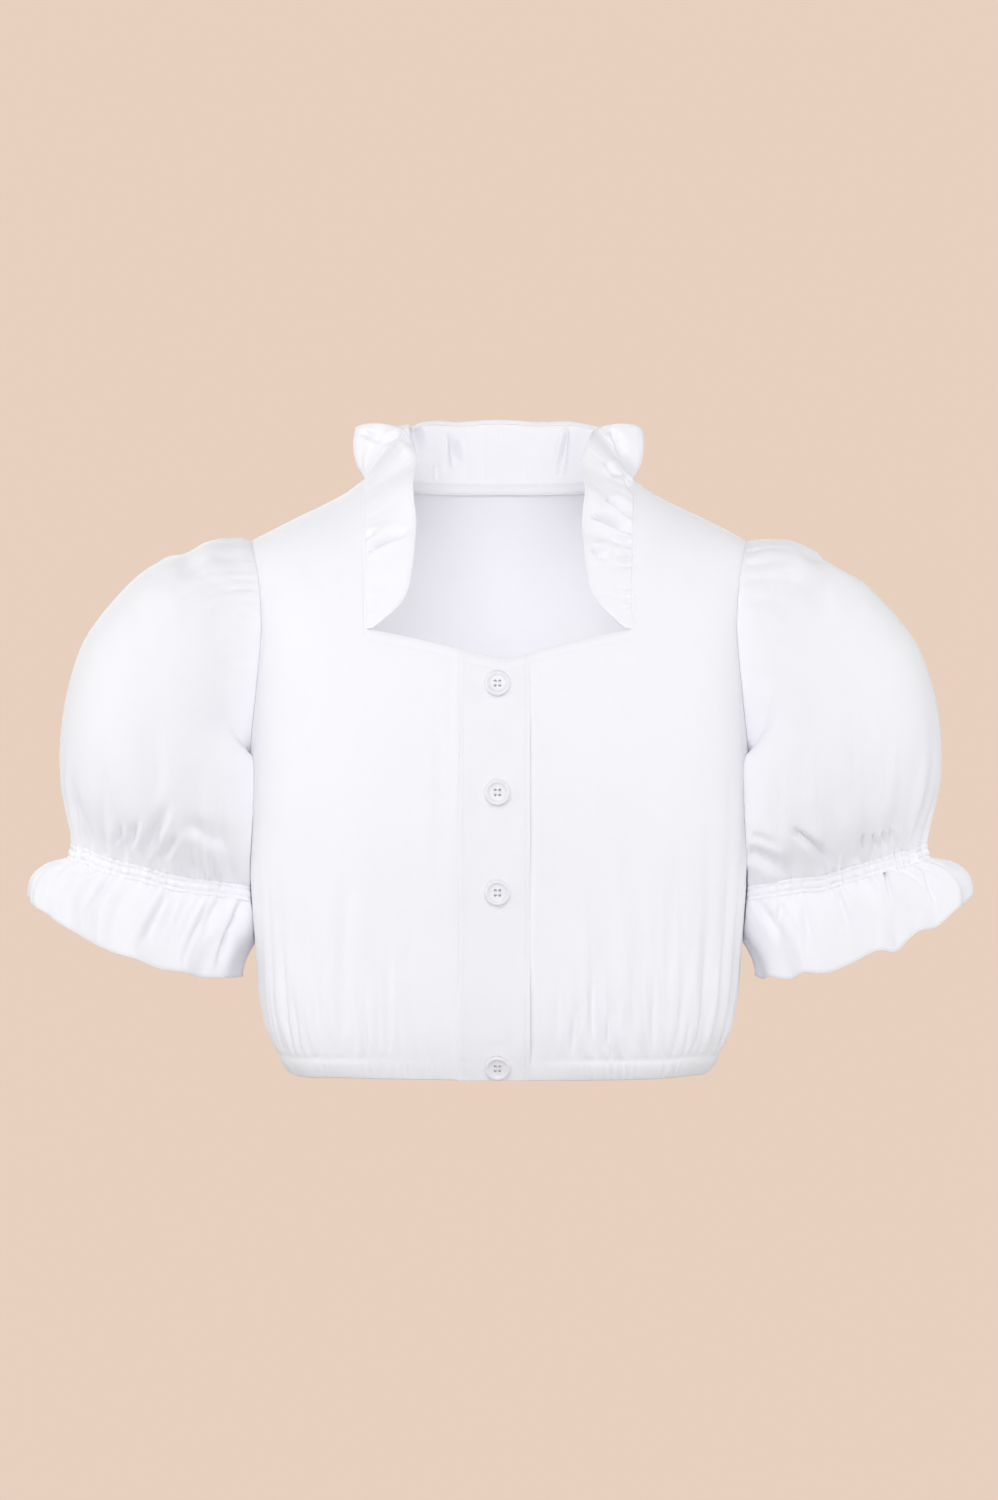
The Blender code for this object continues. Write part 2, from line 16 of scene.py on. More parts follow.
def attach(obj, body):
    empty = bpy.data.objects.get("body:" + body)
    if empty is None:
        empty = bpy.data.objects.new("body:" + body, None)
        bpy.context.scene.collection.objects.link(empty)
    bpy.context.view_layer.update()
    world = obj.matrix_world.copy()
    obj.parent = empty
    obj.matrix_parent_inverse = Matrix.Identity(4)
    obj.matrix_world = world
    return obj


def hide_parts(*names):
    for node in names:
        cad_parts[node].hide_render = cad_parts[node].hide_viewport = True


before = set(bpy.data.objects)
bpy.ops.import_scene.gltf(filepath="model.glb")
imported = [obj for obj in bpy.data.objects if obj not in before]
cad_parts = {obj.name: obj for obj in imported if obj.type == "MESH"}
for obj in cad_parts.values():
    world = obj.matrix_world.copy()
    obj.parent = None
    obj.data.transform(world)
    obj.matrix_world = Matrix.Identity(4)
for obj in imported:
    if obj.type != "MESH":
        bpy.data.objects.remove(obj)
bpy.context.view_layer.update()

# ---- Studio ----------------------------------------------------------------------------
# A camera level with the middle of the blouse, white light from all round as in a light
# tent, large soft lamps on each side and two small ones that light the inside of the back,
# and a plain peach floor and ground.

MM = 0.001
PEACH = (0.807, 0.631, 0.521, 1.0)
VIEW_DISTANCE, VIEW_HEIGHT, VIEW_CENTRE_Z = 3500.0, 1020.0, -184.0
FLOOR_Z, FLOOR_SIZE = -1250.0, 3200.0
CHIP_HEIGHT = 36.0  # of the camera's picture
FLOOR_SHARE, FLOOR_GLOW = 0.15, 0.815  # parts of its tone that are lit and that glow, to meet the ground
TENT_LIGHT, TENT_WHITE = 0.46, (0.985, 0.985, 1.0, 1.0)
MIDDLE, BEHIND = (0.0, 0.0, VIEW_CENTRE_Z), 3000.0
Lamp = namedtuple("Lamp", "name place target size spread watts")  # spread in degrees


def rows_of(kind, *rows):
    """The rows of a table, with its columns' names."""
    return tuple(kind(*row) for row in rows)


LAMPS = rows_of(
    Lamp,
    ("front_lamp", (0, -3300, 700), MIDDLE, 2000, 180, 32.5),
    ("soft_lamp", (-700, -2300, 1500), MIDDLE, 1600, 180, 14),
    ("low_lamp", (0, -2900, -1100), MIDDLE, 1500, 180, 14),
    ("back_lamp", (-600, 2600, 900), MIDDLE, 1800, 180, 41),
    ("right_lamp", (-2800, -300, 200), MIDDLE, 1500, 180, 19),
    ("left_lamp", (2800, -300, 200), MIDDLE, 1500, 180, 19),
    ("inside_lamp_right", (-70, -35, -110), (-70, BEHIND, -110), 80, 120, 0.027),
    ("inside_lamp_left", (70, -35, -110), (70, BEHIND, -110), 80, 120, 0.027),
)


def fill(tree, made, inputs):
    """Gives a node its inputs: each is a number, a colour or another node's socket."""
    for name, value in inputs.items():
        if isinstance(value, bpy.types.NodeSocket):
            tree.links.new(value, made.inputs[name])
        else:
            made.inputs[name].default_value = value


def node(tree, kind, inputs=(), **settings):
    """A new shader node with its settings and inputs."""
    made = tree.nodes.new(kind)
    for name, value in settings.items():
        setattr(made, name, value)
    fill(tree, made, dict(inputs))
    return made


def blank_material(name):
    """A new material, its node tree and its shader."""
    made = bpy.data.materials.new(name)
    made.use_nodes = True
    return made, made.node_tree, made.node_tree.nodes["Principled BSDF"]


def dimmed(colour, share):
    """A share of a colour's light."""
    return [share * value for value in colour[:3]] + [1.0]


def meshed(name, made, smoothed=True):
    """The mesh of a finished bmesh."""
    mesh = bpy.data.meshes.new(name)
    made.to_mesh(mesh)
    made.free()
    if smoothed:
        mesh.shade_smooth()
    return mesh


def light_tent():
    """White light from all round, with a peach ground behind the object."""
    world = bpy.data.worlds.new("light_tent")
    bpy.context.scene.world = world
    world.use_nodes = True
    tree = world.node_tree
    tree.nodes.clear()
    ground = node(tree, "ShaderNodeBackground", {"Color": PEACH, "Strength": 1.0})
    light = node(tree, "ShaderNodeBackground", {"Color": TENT_WHITE, "Strength": TENT_LIGHT})
    seen = node(tree, "ShaderNodeLightPath")
    parts = {0: seen.outputs["Is Camera Ray"], 1: light.outputs[0], 2: ground.outputs[0]}
    both = node(tree, "ShaderNodeMixShader", parts)
    node(tree, "ShaderNodeOutputWorld", {"Surface": both.outputs[0]})


def aimed(thing, target):
    """Turns a lamp or the camera towards a target, and adds it."""
    toward = np.array(target) * MM - np.array(thing.location)
    turn = math.atan2(toward[1], toward[0]) - math.pi / 2
    tilt = math.pi / 2 + math.atan2(toward[2], math.hypot(toward[0], toward[1]))
    thing.rotation_euler = (tilt, 0.0, turn)
    bpy.context.scene.collection.objects.link(thing)


light_tent()
bpy.context.scene.view_settings.view_transform = "Standard"
lens = bpy.data.cameras.new("camera")
lens.sensor_fit = "VERTICAL"
lens.sensor_height = CHIP_HEIGHT
lens.lens = CHIP_HEIGHT * VIEW_DISTANCE / VIEW_HEIGHT
camera = bpy.data.objects.new("camera", lens)
camera.location = (0.0, -VIEW_DISTANCE * MM, VIEW_CENTRE_Z * MM)
aimed(camera, MIDDLE)
bpy.context.scene.camera = camera
for lamp in LAMPS:
    made = bpy.data.lights.new(lamp.name, "AREA")
    made.size = lamp.size * MM
    made.spread = math.radians(lamp.spread)
    made.energy = lamp.watts
    lit = bpy.data.objects.new(lamp.name, made)
    lit.location = [value * MM for value in lamp.place]
    lit.visible_camera = False
    aimed(lit, lamp.target)

floor_paint, tree, shader = blank_material("peach_floor")
tones = {"Base Color": dimmed(PEACH, FLOOR_SHARE), "Emission Color": PEACH}
fill(tree, shader, {"Roughness": 0.95, "Emission Strength": FLOOR_GLOW, **tones})
floor_grid = bmesh.new()
bmesh.ops.create_grid(floor_grid, x_segments=1, y_segments=1, size=FLOOR_SIZE / 2 * MM)
bmesh.ops.translate(floor_grid, verts=floor_grid.verts, vec=(0.0, 0.0, FLOOR_Z * MM))
floor_mesh = meshed("floor", floor_grid, smoothed=False)
floor_mesh.materials.append(floor_paint)
floor = bpy.data.objects.new("floor", floor_mesh)
floor.visible_diffuse = False
bpy.context.scene.collection.objects.link(floor)

# ---- Back ------------------------------------------------------------------------------
# One panel of fine plain-woven white cotton from side seam to side seam. Its lower edge is
# turned up over the elastic and sewn down, and the cloth is gathered into that casing.

Ring = namedtuple("Ring", "height half_width front back")
TORSO = rows_of(
    Ring,
    (-402, 140, 101, 90),
    (-390, 148, 106, 95),
    (-378, 154, 110, 98.5),
    (-355, 160, 114, 101.5),
    (-321, 163.5, 116.5, 103),
    (-270, 168, 119.5, 104),
    (-230, 169.5, 121, 104.5),
    (-205, 169.5, 120.5, 104.5),
    (-150, 169, 113, 103.5),
    (-104, 167.5, 101, 100.5),
)
RING_POWER = 2.8
QUARTER = np.linspace(0, math.pi / 2, 721)  # a quarter turn in small steps
HEM, UNDERARM, CHEST, BUST = -402.0, -205.0, -104.0, -230.0
LOW_ROWS, ARM_ROWS, YOKE_ROWS = 86, 34, 34
ARM_TOP, ARM_REACH, ARM_POWER = -42.0, 50.0, 2.2
SHOULDER_X, SHOULDER_Y, NECK_X = 168.0, 3.0, 91.0
Drop = namedtuple("Drop", "x height")
SHOULDER = rows_of(Drop, (91, 0), (104, -9.5), (119, -17.5), (136, -25.5), (153, -34), (168, -42))
BACK_NECK_Y, BACK_NECK_Z, BACK_NECK_POWER, BACK_NECK_FLAT = 72.0, -6.5, 2.6, 4.0
BACK_INNER, BACK_OUTER = 44, 66
CLOTH = 0.5  # the cotton itself
ROLL = ((0.15, 0.12), (0.6, 0.22), (1.6, 0.2))  # how a seam's edge turns in: depth, and way past the edge
CASING = 13.0  # width of the turned-up hem
TURN_UP = ((CASING + 1, 1.5), (CASING - 2, 1.6), (6.0, 1.9), (1.5, 1.7), (0.2, 1.1), (0.0, 0.5))
COTTON_WHITE, SLUB_TONE = (0.905, 0.9, 0.945, 1.0), 0.975
YARN = 0.42  # the weave's faint bands are 2 pi times this apart
WAVE_TURN = 20.0  # how far, in radians, the wave pattern turns over one unit of its scale


def curve(start, start_pull, end, end_pull, t):
    """A smooth curve from start to end, with a pull at each of them; t goes from 0 to 1."""
    return (
        start * (1 + 2 * t) * (1 - t) ** 2
        + start_pull * t * (1 - t) ** 2
        + end * t * t * (3 - 2 * t)
        + end_pull * t * t * (t - 1)
    )


def read(rows, column, at, key="height"):
    """A column of a table at any place along its key, on a smooth curve through the rows."""
    place = np.array([getattr(row, key) for row in rows]) if key else np.arange(len(rows)) * 1.0
    value = np.array([getattr(row, column) for row in rows])
    slope = np.gradient(value, place)
    at = np.clip(at, place[0], place[-1])
    low = np.clip(np.searchsorted(place, at) - 1, 0, len(place) - 2)
    step = place[low + 1] - place[low]
    t = (at - place[low]) / step
    return curve(value[low], slope[low] * step, value[low + 1], slope[low + 1] * step, t)


def shares(parts):
    """Even places from 0 to 1, with both ends."""
    return np.linspace(0, 1, parts + 1)


def nearest(values, at):
    """Number of the value that is nearest to a given one."""
    return int(np.argmin(np.abs(values - at)))


def unit(vectors):
    """Vectors of length 1."""
    return vectors / np.maximum(np.linalg.norm(vectors, axis=-1, keepdims=True), 1e-9)


def smooth(t):
    """A soft step from 0 to 1, as t goes from 0 to 1."""
    t = np.clip(t, 0, 1)
    return t * t * (3 - 2 * t)


def bell(t):
    """1 in the middle of a line or bump and almost nothing two widths away; t is in widths."""
    return np.exp(-(t**2))


def powered(value, power):
    """A sine or cosine raised for a superellipse, with its sign kept."""
    return np.sign(value) * np.abs(value) ** (2 / power)


def lengths(line):
    """Length up to each point of a line, or down each column of a grid."""
    steps = np.linalg.norm(np.diff(line, axis=0), axis=-1)
    return np.concatenate([0 * steps[:1], np.cumsum(steps, axis=0)])


def points_at(line, scale, at):
    """Points of a line at places on a scale, which holds the place of each of its own points."""
    return np.stack([np.interp(at, scale, line[:, k]) for k in range(3)], axis=-1)


def evenly(line, parts):
    """Points at even lengths along a line."""
    length = lengths(line)
    return points_at(line, length, np.linspace(0, length[-1], parts + 1))


def facing(points, closed=False):
    """Normals of a grid of points, towards the side from which its columns run to the right."""
    if closed:
        wrapped = np.concatenate([points[:, -2:-1], points, points[:, 1:2]], axis=1)
        return facing(wrapped)[:, 1:-1]
    return unit(np.cross(np.gradient(points, axis=1), np.gradient(points, axis=0)))


def armhole(angle):
    """Height of the armhole and its reach from the side seam's plane; 0 is its top, pi its bottom."""
    middle, half = (ARM_TOP + UNDERARM) / 2, (ARM_TOP - UNDERARM) / 2
    height = middle + half * powered(np.cos(angle), ARM_POWER)
    return height, ARM_REACH * np.abs(powered(np.sin(angle), ARM_POWER))


def arm_angles():
    """The armhole's angles at the panels' rows, from the underarm up to the shoulder."""
    middle, half = (ARM_TOP + UNDERARM) / 2, (ARM_TOP - UNDERARM) / 2
    at_chest = math.acos(((CHEST - middle) / half) ** (ARM_POWER / 2))
    lower = np.linspace(math.pi, at_chest, ARM_ROWS + 1)
    return np.concatenate([lower, np.linspace(at_chest, 0, YOKE_ROWS + 1)[1:]])


def panel_heights():
    """Heights of the panels' rows up to the chest line, closer together near the hem."""
    low = HEM + (UNDERARM - HEM) * shares(LOW_ROWS) ** 1.3
    return np.concatenate([low, armhole(arm_angles())[0][1 : ARM_ROWS + 1]])


def raised_heights(heights, top):
    """Heights of the rows below a top edge, which rise towards it above the underarm."""
    share = np.maximum(heights - UNDERARM, 0) / (CHEST - UNDERARM)
    return heights[:, None] + share[:, None] * (top - CHEST)


def torso_y(x, height, face):
    """Where the torso's surface is at x and a height; face is "front" or "back"."""
    share = np.clip(np.abs(x) / read(TORSO, "half_width", height), 0, 1)
    depth = read(TORSO, face, height) * (1 - share**RING_POWER) ** (1 / RING_POWER)
    return depth * (-1 if face == "front" else 1)


def ring_side(height, face, from_x, reach, outer):
    """Points round one ring, from from_x to reach in front of or behind the side seam."""
    x = read(TORSO, "half_width", height) * powered(np.sin(QUARTER), RING_POWER)
    y = read(TORSO, face, height) * powered(np.cos(QUARTER), RING_POWER)
    length = lengths(np.stack([x, y], axis=-1))
    at = np.linspace(np.interp(from_x, x, length), np.interp(-reach, -y, length), outer + 1)
    y = np.interp(at, length, y) * (-1 if face == "front" else 1)
    return np.stack([np.interp(at, length, x), y, np.full_like(y, height)], axis=-1)


def half_panel(face, from_x, turn_x, inner, outer, top):
    """The smooth form of half a body panel up to the chest line."""
    heights = panel_heights()
    reach = np.zeros(len(heights))
    reach[LOW_ROWS + 1 :] = armhole(arm_angles())[1][1 : ARM_ROWS + 1]
    z = raised_heights(heights, top)
    wide = np.broadcast_to(np.linspace(from_x, turn_x, inner + 1), z.shape)
    points = np.zeros((len(heights), inner + outer + 1, 3))
    points[:, : inner + 1] = np.stack([wide, torso_y(wide, z, face), z], axis=-1)
    for row, height in enumerate(heights):
        points[row, inner:] = ring_side(height, face, turn_x, reach[row], outer)
    return points


def yoke(points, face, ends, end_pull, outer):
    """The rows above the chest line, as curves that end on the neck and shoulder seams."""
    start, before = points[-1, -len(ends) :], points[-2, -len(ends) :]
    reach = np.linalg.norm(ends - start, axis=-1, keepdims=True)
    start_pull = unit(start - before) * reach
    heights, reaches = armhole(arm_angles()[ARM_ROWS:])
    share = np.concatenate([np.zeros(len(ends) - outer - 1), shares(outer)])
    rows = []
    for row in range(1, YOKE_ROWS + 1):
        t = row / YOKE_ROWS
        line = curve(start, start_pull, ends, end_pull * reach, t)
        edge_x = start[-1, 0] + (SHOULDER_X - start[-1, 0]) * smooth(t)
        edge_y = reaches[row] * (-1 if face == "front" else 1) + SHOULDER_Y * t
        to_edge = np.array([edge_x, edge_y, heights[row]]) - line[-1]
        rows.append(line + share[:, None] ** 2 * to_edge)
    return np.stack(rows)


def shoulder_seam(outer):
    """The shoulder seam from the neck to the armhole."""
    share = shares(outer)
    x = NECK_X + (SHOULDER_X - NECK_X) * share
    return np.stack([x, SHOULDER_Y * share, read(SHOULDER, "height", x, key="x")], axis=-1)


def back_neck_seam(parts):
    """The back neck seam from its middle to the shoulder."""
    x = NECK_X * powered(np.sin(QUARTER), BACK_NECK_POWER)
    y = BACK_NECK_Y * powered(np.cos(QUARTER), BACK_NECK_POWER)
    return evenly(np.stack([x, y, BACK_NECK_Z * (1 - (x / NECK_X) ** BACK_NECK_FLAT)], axis=-1), parts)


def back_form():
    """The back's smooth form from the right side seam to the left one."""
    half = half_panel("back", 0.0, NECK_X, BACK_INNER, BACK_OUTER, np.full(BACK_INNER + 1, CHEST))
    ends = np.concatenate([back_neck_seam(BACK_INNER), shoulder_seam(BACK_OUTER)[1:]])
    turned = smooth(shares(BACK_INNER))[:, None]
    neck_pull = unit((1 - turned) * [0.0, -0.45, 0.9] + turned * [0.0, -1.0, 0.0])
    pull = np.concatenate([neck_pull, np.tile([0.0, -1.0, 0.0], (BACK_OUTER, 1))])
    half = np.concatenate([half, yoke(half, "back", ends, pull, BACK_OUTER)])
    return np.concatenate([(half * [-1, 1, 1])[:, :0:-1], half], axis=1)


def wander(at, length, seed, around=None):
    """A smooth uneven line between -1 and 1 that turns about once in each length."""
    count = 997 if around is None else max(3, round(around / length))
    size = length if around is None else around / count
    knots = np.random.default_rng(seed).uniform(-1, 1, count)
    low = np.floor(np.asarray(at) / size).astype(int)
    t = smooth(np.asarray(at) / size - low)
    return knots[low % count] * (1 - t) + knots[(low + 1) % count] * t


Hills = namedtuple("Hills", "rise wide long")
HILL_SHIFT = 0.37  # of a hill's width, from one row of hills to the next


def unevenness(across, along, hills, seed, around=None):
    """A smooth uneven surface of low hills and hollows."""
    low = np.floor(along / hills.long).astype(int)
    t = smooth(along / hills.long - low)
    total = np.zeros(np.broadcast(across, along).shape)
    across = np.broadcast_to(across, total.shape)
    for step in np.unique(np.concatenate([low.ravel(), low.ravel() + 1])):
        share = np.where(low == step, 1 - t, np.where(low == step - 1, t, 0))
        used = share > 0
        shifted = across[used] + step * HILL_SHIFT * hills.wide
        total[used] += share[used] * wander(shifted, hills.wide, seed + 31 * int(step), around)
    return hills.rise * total


Gathering = namedtuple("Gathering", "pitch rise reach depth")
SWAY, SWAY_LENGTH, LEAN, LEAN_LENGTH = 0.9, 2.7, 0.16, 4  # these lengths are in pitches of the folds
FOLD_ROUND, FOLD_MIDDLE = 0.05, 0.68  # rounds the folds' hollows, and is their middle height
FOLD_MEAN, FOLD_SPREAD, FOLD_LENGTH = 0.62, 0.5, 1.6
REACH_MEAN, REACH_SPREAD, REACH_LENGTH = 0.85, 0.5, 2.1


def gathers(across, away, table, seed, around=None):
    """Uneven gathers that start at a sewn line: small ones next to it, wider ones further off."""
    height = np.zeros(np.broadcast(across, away).shape)
    for number, row in enumerate(table):
        pitch = row.pitch if around is None else around / round(around / row.pitch)
        here = seed + 7 * number
        sway = SWAY * pitch * wander(across, SWAY_LENGTH * pitch, here, around)
        lean = LEAN * away * wander(across, LEAN_LENGTH * pitch, here + 1, around)
        turn = math.pi * (across + sway + lean) / pitch
        fold = np.sqrt(np.sin(turn) ** 2 + FOLD_ROUND) - FOLD_MIDDLE
        uneven = FOLD_MEAN + FOLD_SPREAD * wander(across, FOLD_LENGTH * pitch, here + 2, around)
        far = REACH_MEAN + REACH_SPREAD * wander(across, REACH_LENGTH * pitch, here + 3, around)
        reach = row.reach * far
        height = height + row.depth * uneven * fold * smooth(away / row.rise) * bell(away / reach)
    return height


Crease = namedtuple("Crease", "x z end_x end_z width depth")
CREASE_SEEN = 3  # how fast a crease fades where the cloth turns away
CREASE_START, CREASE_GROWS = 0.7, 0.6  # its width where it starts and how much it grows, as shares
CREASE_RISE, CREASE_FALL = 4, 1.6  # how fast its depth comes and goes, along its length
STEEP_SIDE, SOFT_SIDE = 0.75, 1.5  # a crease's two sides, as shares of its width
RIDGE_SHARE, RIDGE_WIDTH = 0.35, 2.2  # the same for the height and width of the ridges beside it


def creased(points, normals, rows, side=-1):
    """How deep each point lies in soft creases that are placed as seen from the front or the back."""
    depth = np.zeros(points.shape[:-1])
    seen = smooth(normals[..., 1] * side * CREASE_SEEN)
    for row in rows:
        start, way = np.array([row.x, row.z]), np.array([row.end_x - row.x, row.end_z - row.z])
        apart = points[..., [0, 2]] - start
        t = (apart @ way) / (way @ way)
        off = (apart[..., 0] * way[1] - apart[..., 1] * way[0]) / np.linalg.norm(way)
        wider = CREASE_START + CREASE_GROWS * np.clip(t, 0, 1)
        width = row.width * wider * np.where(off > 0, STEEP_SIDE, SOFT_SIDE)
        taper = smooth(t * CREASE_RISE) * smooth((1 - t) * CREASE_FALL)
        depth += row.depth * taper * (bell(off / width) - RIDGE_SHARE * bell(off / width / RIDGE_WIDTH))
    return depth * seen


def rolled(points, normals, first_row=False, last_row=False, first_column=False, last_column=False):
    """Adds the turned-in edge along chosen sides of a grid, so that its seams read as seams."""
    if first_row or last_row:
        lips = []
        for edge, inside, wanted in ((0, 1, first_row), (-1, -2, last_row)):
            out = unit(points[edge] - points[inside])
            turns = ROLL if wanted else ()
            lip = [points[edge] - deep * normals[edge] + past * out for deep, past in turns]
            lips.append(np.array(lip).reshape(-1, *points.shape[1:]))
        points = np.concatenate([lips[0][::-1], points, lips[1]])
        normals = np.concatenate([normals[:1]] * len(lips[0]) + [normals] + [normals[-1:]] * len(lips[1]))
    if first_column or last_column:
        sideways = (part.transpose(1, 0, 2) for part in (points, normals))
        turned = rolled(*sideways, first_row=first_column, last_row=last_column)
        points, normals = (part.transpose(1, 0, 2) for part in turned)
    return points, normals


def turned_up(points, normals, table):
    """Rows of a turned-up edge below and behind the first rows of a grid, its inner end first."""
    away = np.mean(np.linalg.norm(points - points[:1], axis=-1), axis=1)
    rows = []
    for up, deep in table:
        low = max(1, int(np.searchsorted(away, up)))
        t = (up - away[low - 1]) / (away[low] - away[low - 1])
        rows.append(points[low - 1] * (1 - t) + points[low] * t - deep * normals[low])
    return np.stack(rows)


def with_casing(points, normals, first_column=True):
    """A body panel with its turned-in seams, and its turned-up hem behind its lower edge."""
    hem = turned_up(points, normals, TURN_UP)
    first = len(ROLL) * first_column
    hem = np.concatenate([hem[:, :1]] * first + [hem] + [hem[:, -1:]] * len(ROLL), axis=1)
    sewn, _ = rolled(points, normals, last_row=True, first_column=first_column, last_column=True)
    return np.concatenate([hem, sewn])


def gridded(name, points, closed=False, left_out=None):
    """A mesh on a grid of points; left_out marks the points of the grid that it lacks."""
    rows, columns = points.shape[:2]
    grid = bmesh.new()
    bmesh.ops.create_grid(grid, x_segments=columns - 1, y_segments=rows - 1, size=1)
    mesh = meshed(name, grid)
    flat = np.empty(len(mesh.vertices) * 3)
    mesh.vertices.foreach_get("co", flat)
    column = np.rint((flat[0::3] + 1) / 2 * (columns - 1)).astype(int)
    row = np.rint((flat[1::3] + 1) / 2 * (rows - 1)).astype(int)
    mesh.vertices.foreach_set("co", (points[row, column] * MM).ravel())
    across = lengths(points[rows // 2]) * MM
    along = lengths(points[:, columns // 2]) * MM
    corner = np.empty(len(mesh.loops), dtype=np.int32)
    mesh.loops.foreach_get("vertex_index", corner)
    cut = mesh.uv_layers.new(name="cut")
    cut.uv.foreach_set("vector", np.stack([across[column[corner]], along[row[corner]]], axis=-1).ravel())
    made = bmesh.new()
    made.from_mesh(mesh)
    if left_out is not None:
        made.verts.ensure_lookup_table()
        gone = [made.verts[int(k)] for k in np.nonzero(left_out[row, column])[0]]
        bmesh.ops.delete(made, geom=gone, context="VERTS")
    if closed:
        bmesh.ops.remove_doubles(made, verts=made.verts, dist=0.001 * MM)
    made.to_mesh(mesh)
    made.free()
    return mesh


def shown(name, mesh, material):
    """A finished piece of the blouse."""
    mesh.materials.append(material)
    piece = bpy.data.objects.new(name, mesh)
    bpy.context.scene.collection.objects.link(piece)
    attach(piece, "root")
    return piece


def cloth(name, points, thickness=CLOTH, closed=False, left_out=None):
    """A piece of cloth whose middle layer is a grid of points."""
    piece = shown(name, gridded(name, points, closed, left_out), COTTON)
    wall = piece.modifiers.new("wall", "SOLIDIFY")
    wall.thickness = thickness * MM
    wall.offset = 0.0
    return piece


def cotton(name):
    """Plain weave, a little crumpled, with no shine but a faint bloom at grazing angles."""
    made, tree, shader = blank_material(name)
    place = node(tree, "ShaderNodeTexCoord")
    cut = node(tree, "ShaderNodeMapping", {"Vector": place.outputs["UV"]})
    weave = node(tree, "ShaderNodeMath", operation="MULTIPLY")
    scale = 1 / (WAVE_TURN * YARN * MM)
    for number, direction in enumerate("XY"):
        band = {"Vector": cut.outputs[0], "Scale": scale, "Distortion": 1.2, "Detail": 1.0}
        threads = node(tree, "ShaderNodeTexWave", band, wave_type="BANDS", bands_direction=direction)
        tree.links.new(threads.outputs["Fac"], weave.inputs[number])
    small = {"Vector": place.outputs["Object"], "Scale": 85.0, "Detail": 3.0, "Roughness": 0.55}
    crumple = node(tree, "ShaderNodeTexNoise", small).outputs["Fac"]
    large = {"Vector": place.outputs["Object"], "Scale": 14.0, "Detail": 4.0}
    slubs = node(tree, "ShaderNodeTexNoise", large).outputs["Fac"]
    tones = {"Factor": slubs, "A": dimmed(COTTON_WHITE, SLUB_TONE), "B": COTTON_WHITE}
    tone = node(tree, "ShaderNodeMix", tones, data_type="RGBA")
    soft = node(tree, "ShaderNodeBump", {"Height": crumple, "Strength": 0.35, "Distance": 0.5 * MM})
    bumps = {"Height": weave.outputs[0], "Normal": soft.outputs[0], "Strength": 0.15, "Distance": 0.08 * MM}
    fine = node(tree, "ShaderNodeBump", bumps)
    passing = {"Subsurface Weight": 1.0, "Subsurface Radius": (1.0, 1.0, 1.0), "Subsurface Scale": 0.3 * MM}
    bloom = {"Specular IOR Level": 0.25, "Sheen Weight": 0.06, "Sheen Roughness": 0.5}
    fill(tree, shader, {"Base Color": tone.outputs["Result"], "Normal": fine.outputs[0], "Roughness": 0.88})
    fill(tree, shader, {**passing, **bloom})
    return made


COTTON = cotton("white_cotton")
HEM_GATHERS = rows_of(Gathering, (5.2, 2, 15, 1.2), (11.5, 8, 58, 2.9), (24, 26, 130, 4.4))
CASING_PUCKER, CASING_BULGE, CASING_POWER, CASING_AWAY = 1.8, 1.1, 0.6, 1.5
SEWN_DEPTH, SEWN_WIDTH, SEWN_RISE = 0.8, 1.1, 3
FROM_SEAM = 0.8  # added to the distance from a seam, where gathers already have some height
SEAM_CALM, SEAM_FOLDS, OPEN_FOLDS = 9.0, 0.45, 0.55  # the hem's folds are lower this near to a seam
BACK_HILLS, BACK_HILLS_TOP, HILLS_FADE = Hills(1.3, 58.0, 130.0), 420.0, 60.0  # they end this high


def hem_folds(across, above, fullness, seed):
    """Height of the folds over the elastic hem, the puckered casing and its sewn line."""
    over = np.maximum(above - CASING, 0)
    folds = gathers(across, over + FROM_SEAM, HEM_GATHERS, seed) * smooth(over / SEWN_RISE)
    inside = np.clip(above / CASING, 0, 1)
    pucker = gathers(across, np.full_like(across, CASING_AWAY), HEM_GATHERS[:1], seed)
    round_form = np.sin(math.pi * inside) ** CASING_POWER
    casing = (CASING_BULGE + CASING_PUCKER * pucker) * round_form * (above < CASING)
    sewn = -SEWN_DEPTH * bell((above - CASING) / SEWN_WIDTH) * (0.6 + 0.4 * pucker)
    return (folds + casing + sewn) * fullness


def round_body(form, start=0.0):
    """Length round the body at each point of a panel; below the bust line it goes with the columns."""
    length = start + lengths(form.transpose(1, 0, 2)).T
    bust = nearest(form[:, -1, 2], BUST)
    length[:bust] = length[bust]
    return length


BACK_CREASES = rows_of(
    Crease,
    (-122, -382, -118, -255, 4.5, 3.2), (-93, -384, -98, -300, 3.5, 3),
    (-66, -384, -60, -232, 5, 3.4), (-38, -385, -41, -316, 3.2, 2.4),
    (-14, -383, -10, -270, 4, 2.8), (17, -385, 14, -322, 3, 2.4),
    (41, -383, 47, -246, 4.6, 3.2), (74, -384, 71, -305, 3.4, 2.8),
    (99, -383, 105, -262, 4.4, 3.2), (128, -382, 124, -315, 3.6, 2.6),
    (-150, -215, -96, -150, 9, 2.2), (150, -215, 101, -158, 8, 2),
    (-60, -30, -88, -95, 8, 1.6), (58, -28, 84, -88, 8, 1.4),
)

form = back_form()
out = -facing(form)
across = round_body(form)
across = across - across[:, BACK_INNER + BACK_OUTER, None]
above = form[..., 2] - HEM
at_seam = smooth((across[:, -1:] - np.abs(across)) / SEAM_CALM)
height = hem_folds(across, above, SEAM_FOLDS + OPEN_FOLDS * at_seam, seed=11)
hills = unevenness(across, above, BACK_HILLS, seed=21)
height += hills * at_seam * smooth((BACK_HILLS_TOP - above) / HILLS_FADE)
height -= creased(form, out, BACK_CREASES, side=1) * at_seam
back_surface = form + out * height[..., None]
back_out = -facing(back_surface)
back = cloth("back_panel", with_casing(back_surface, back_out)[:, ::-1])
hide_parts("back")

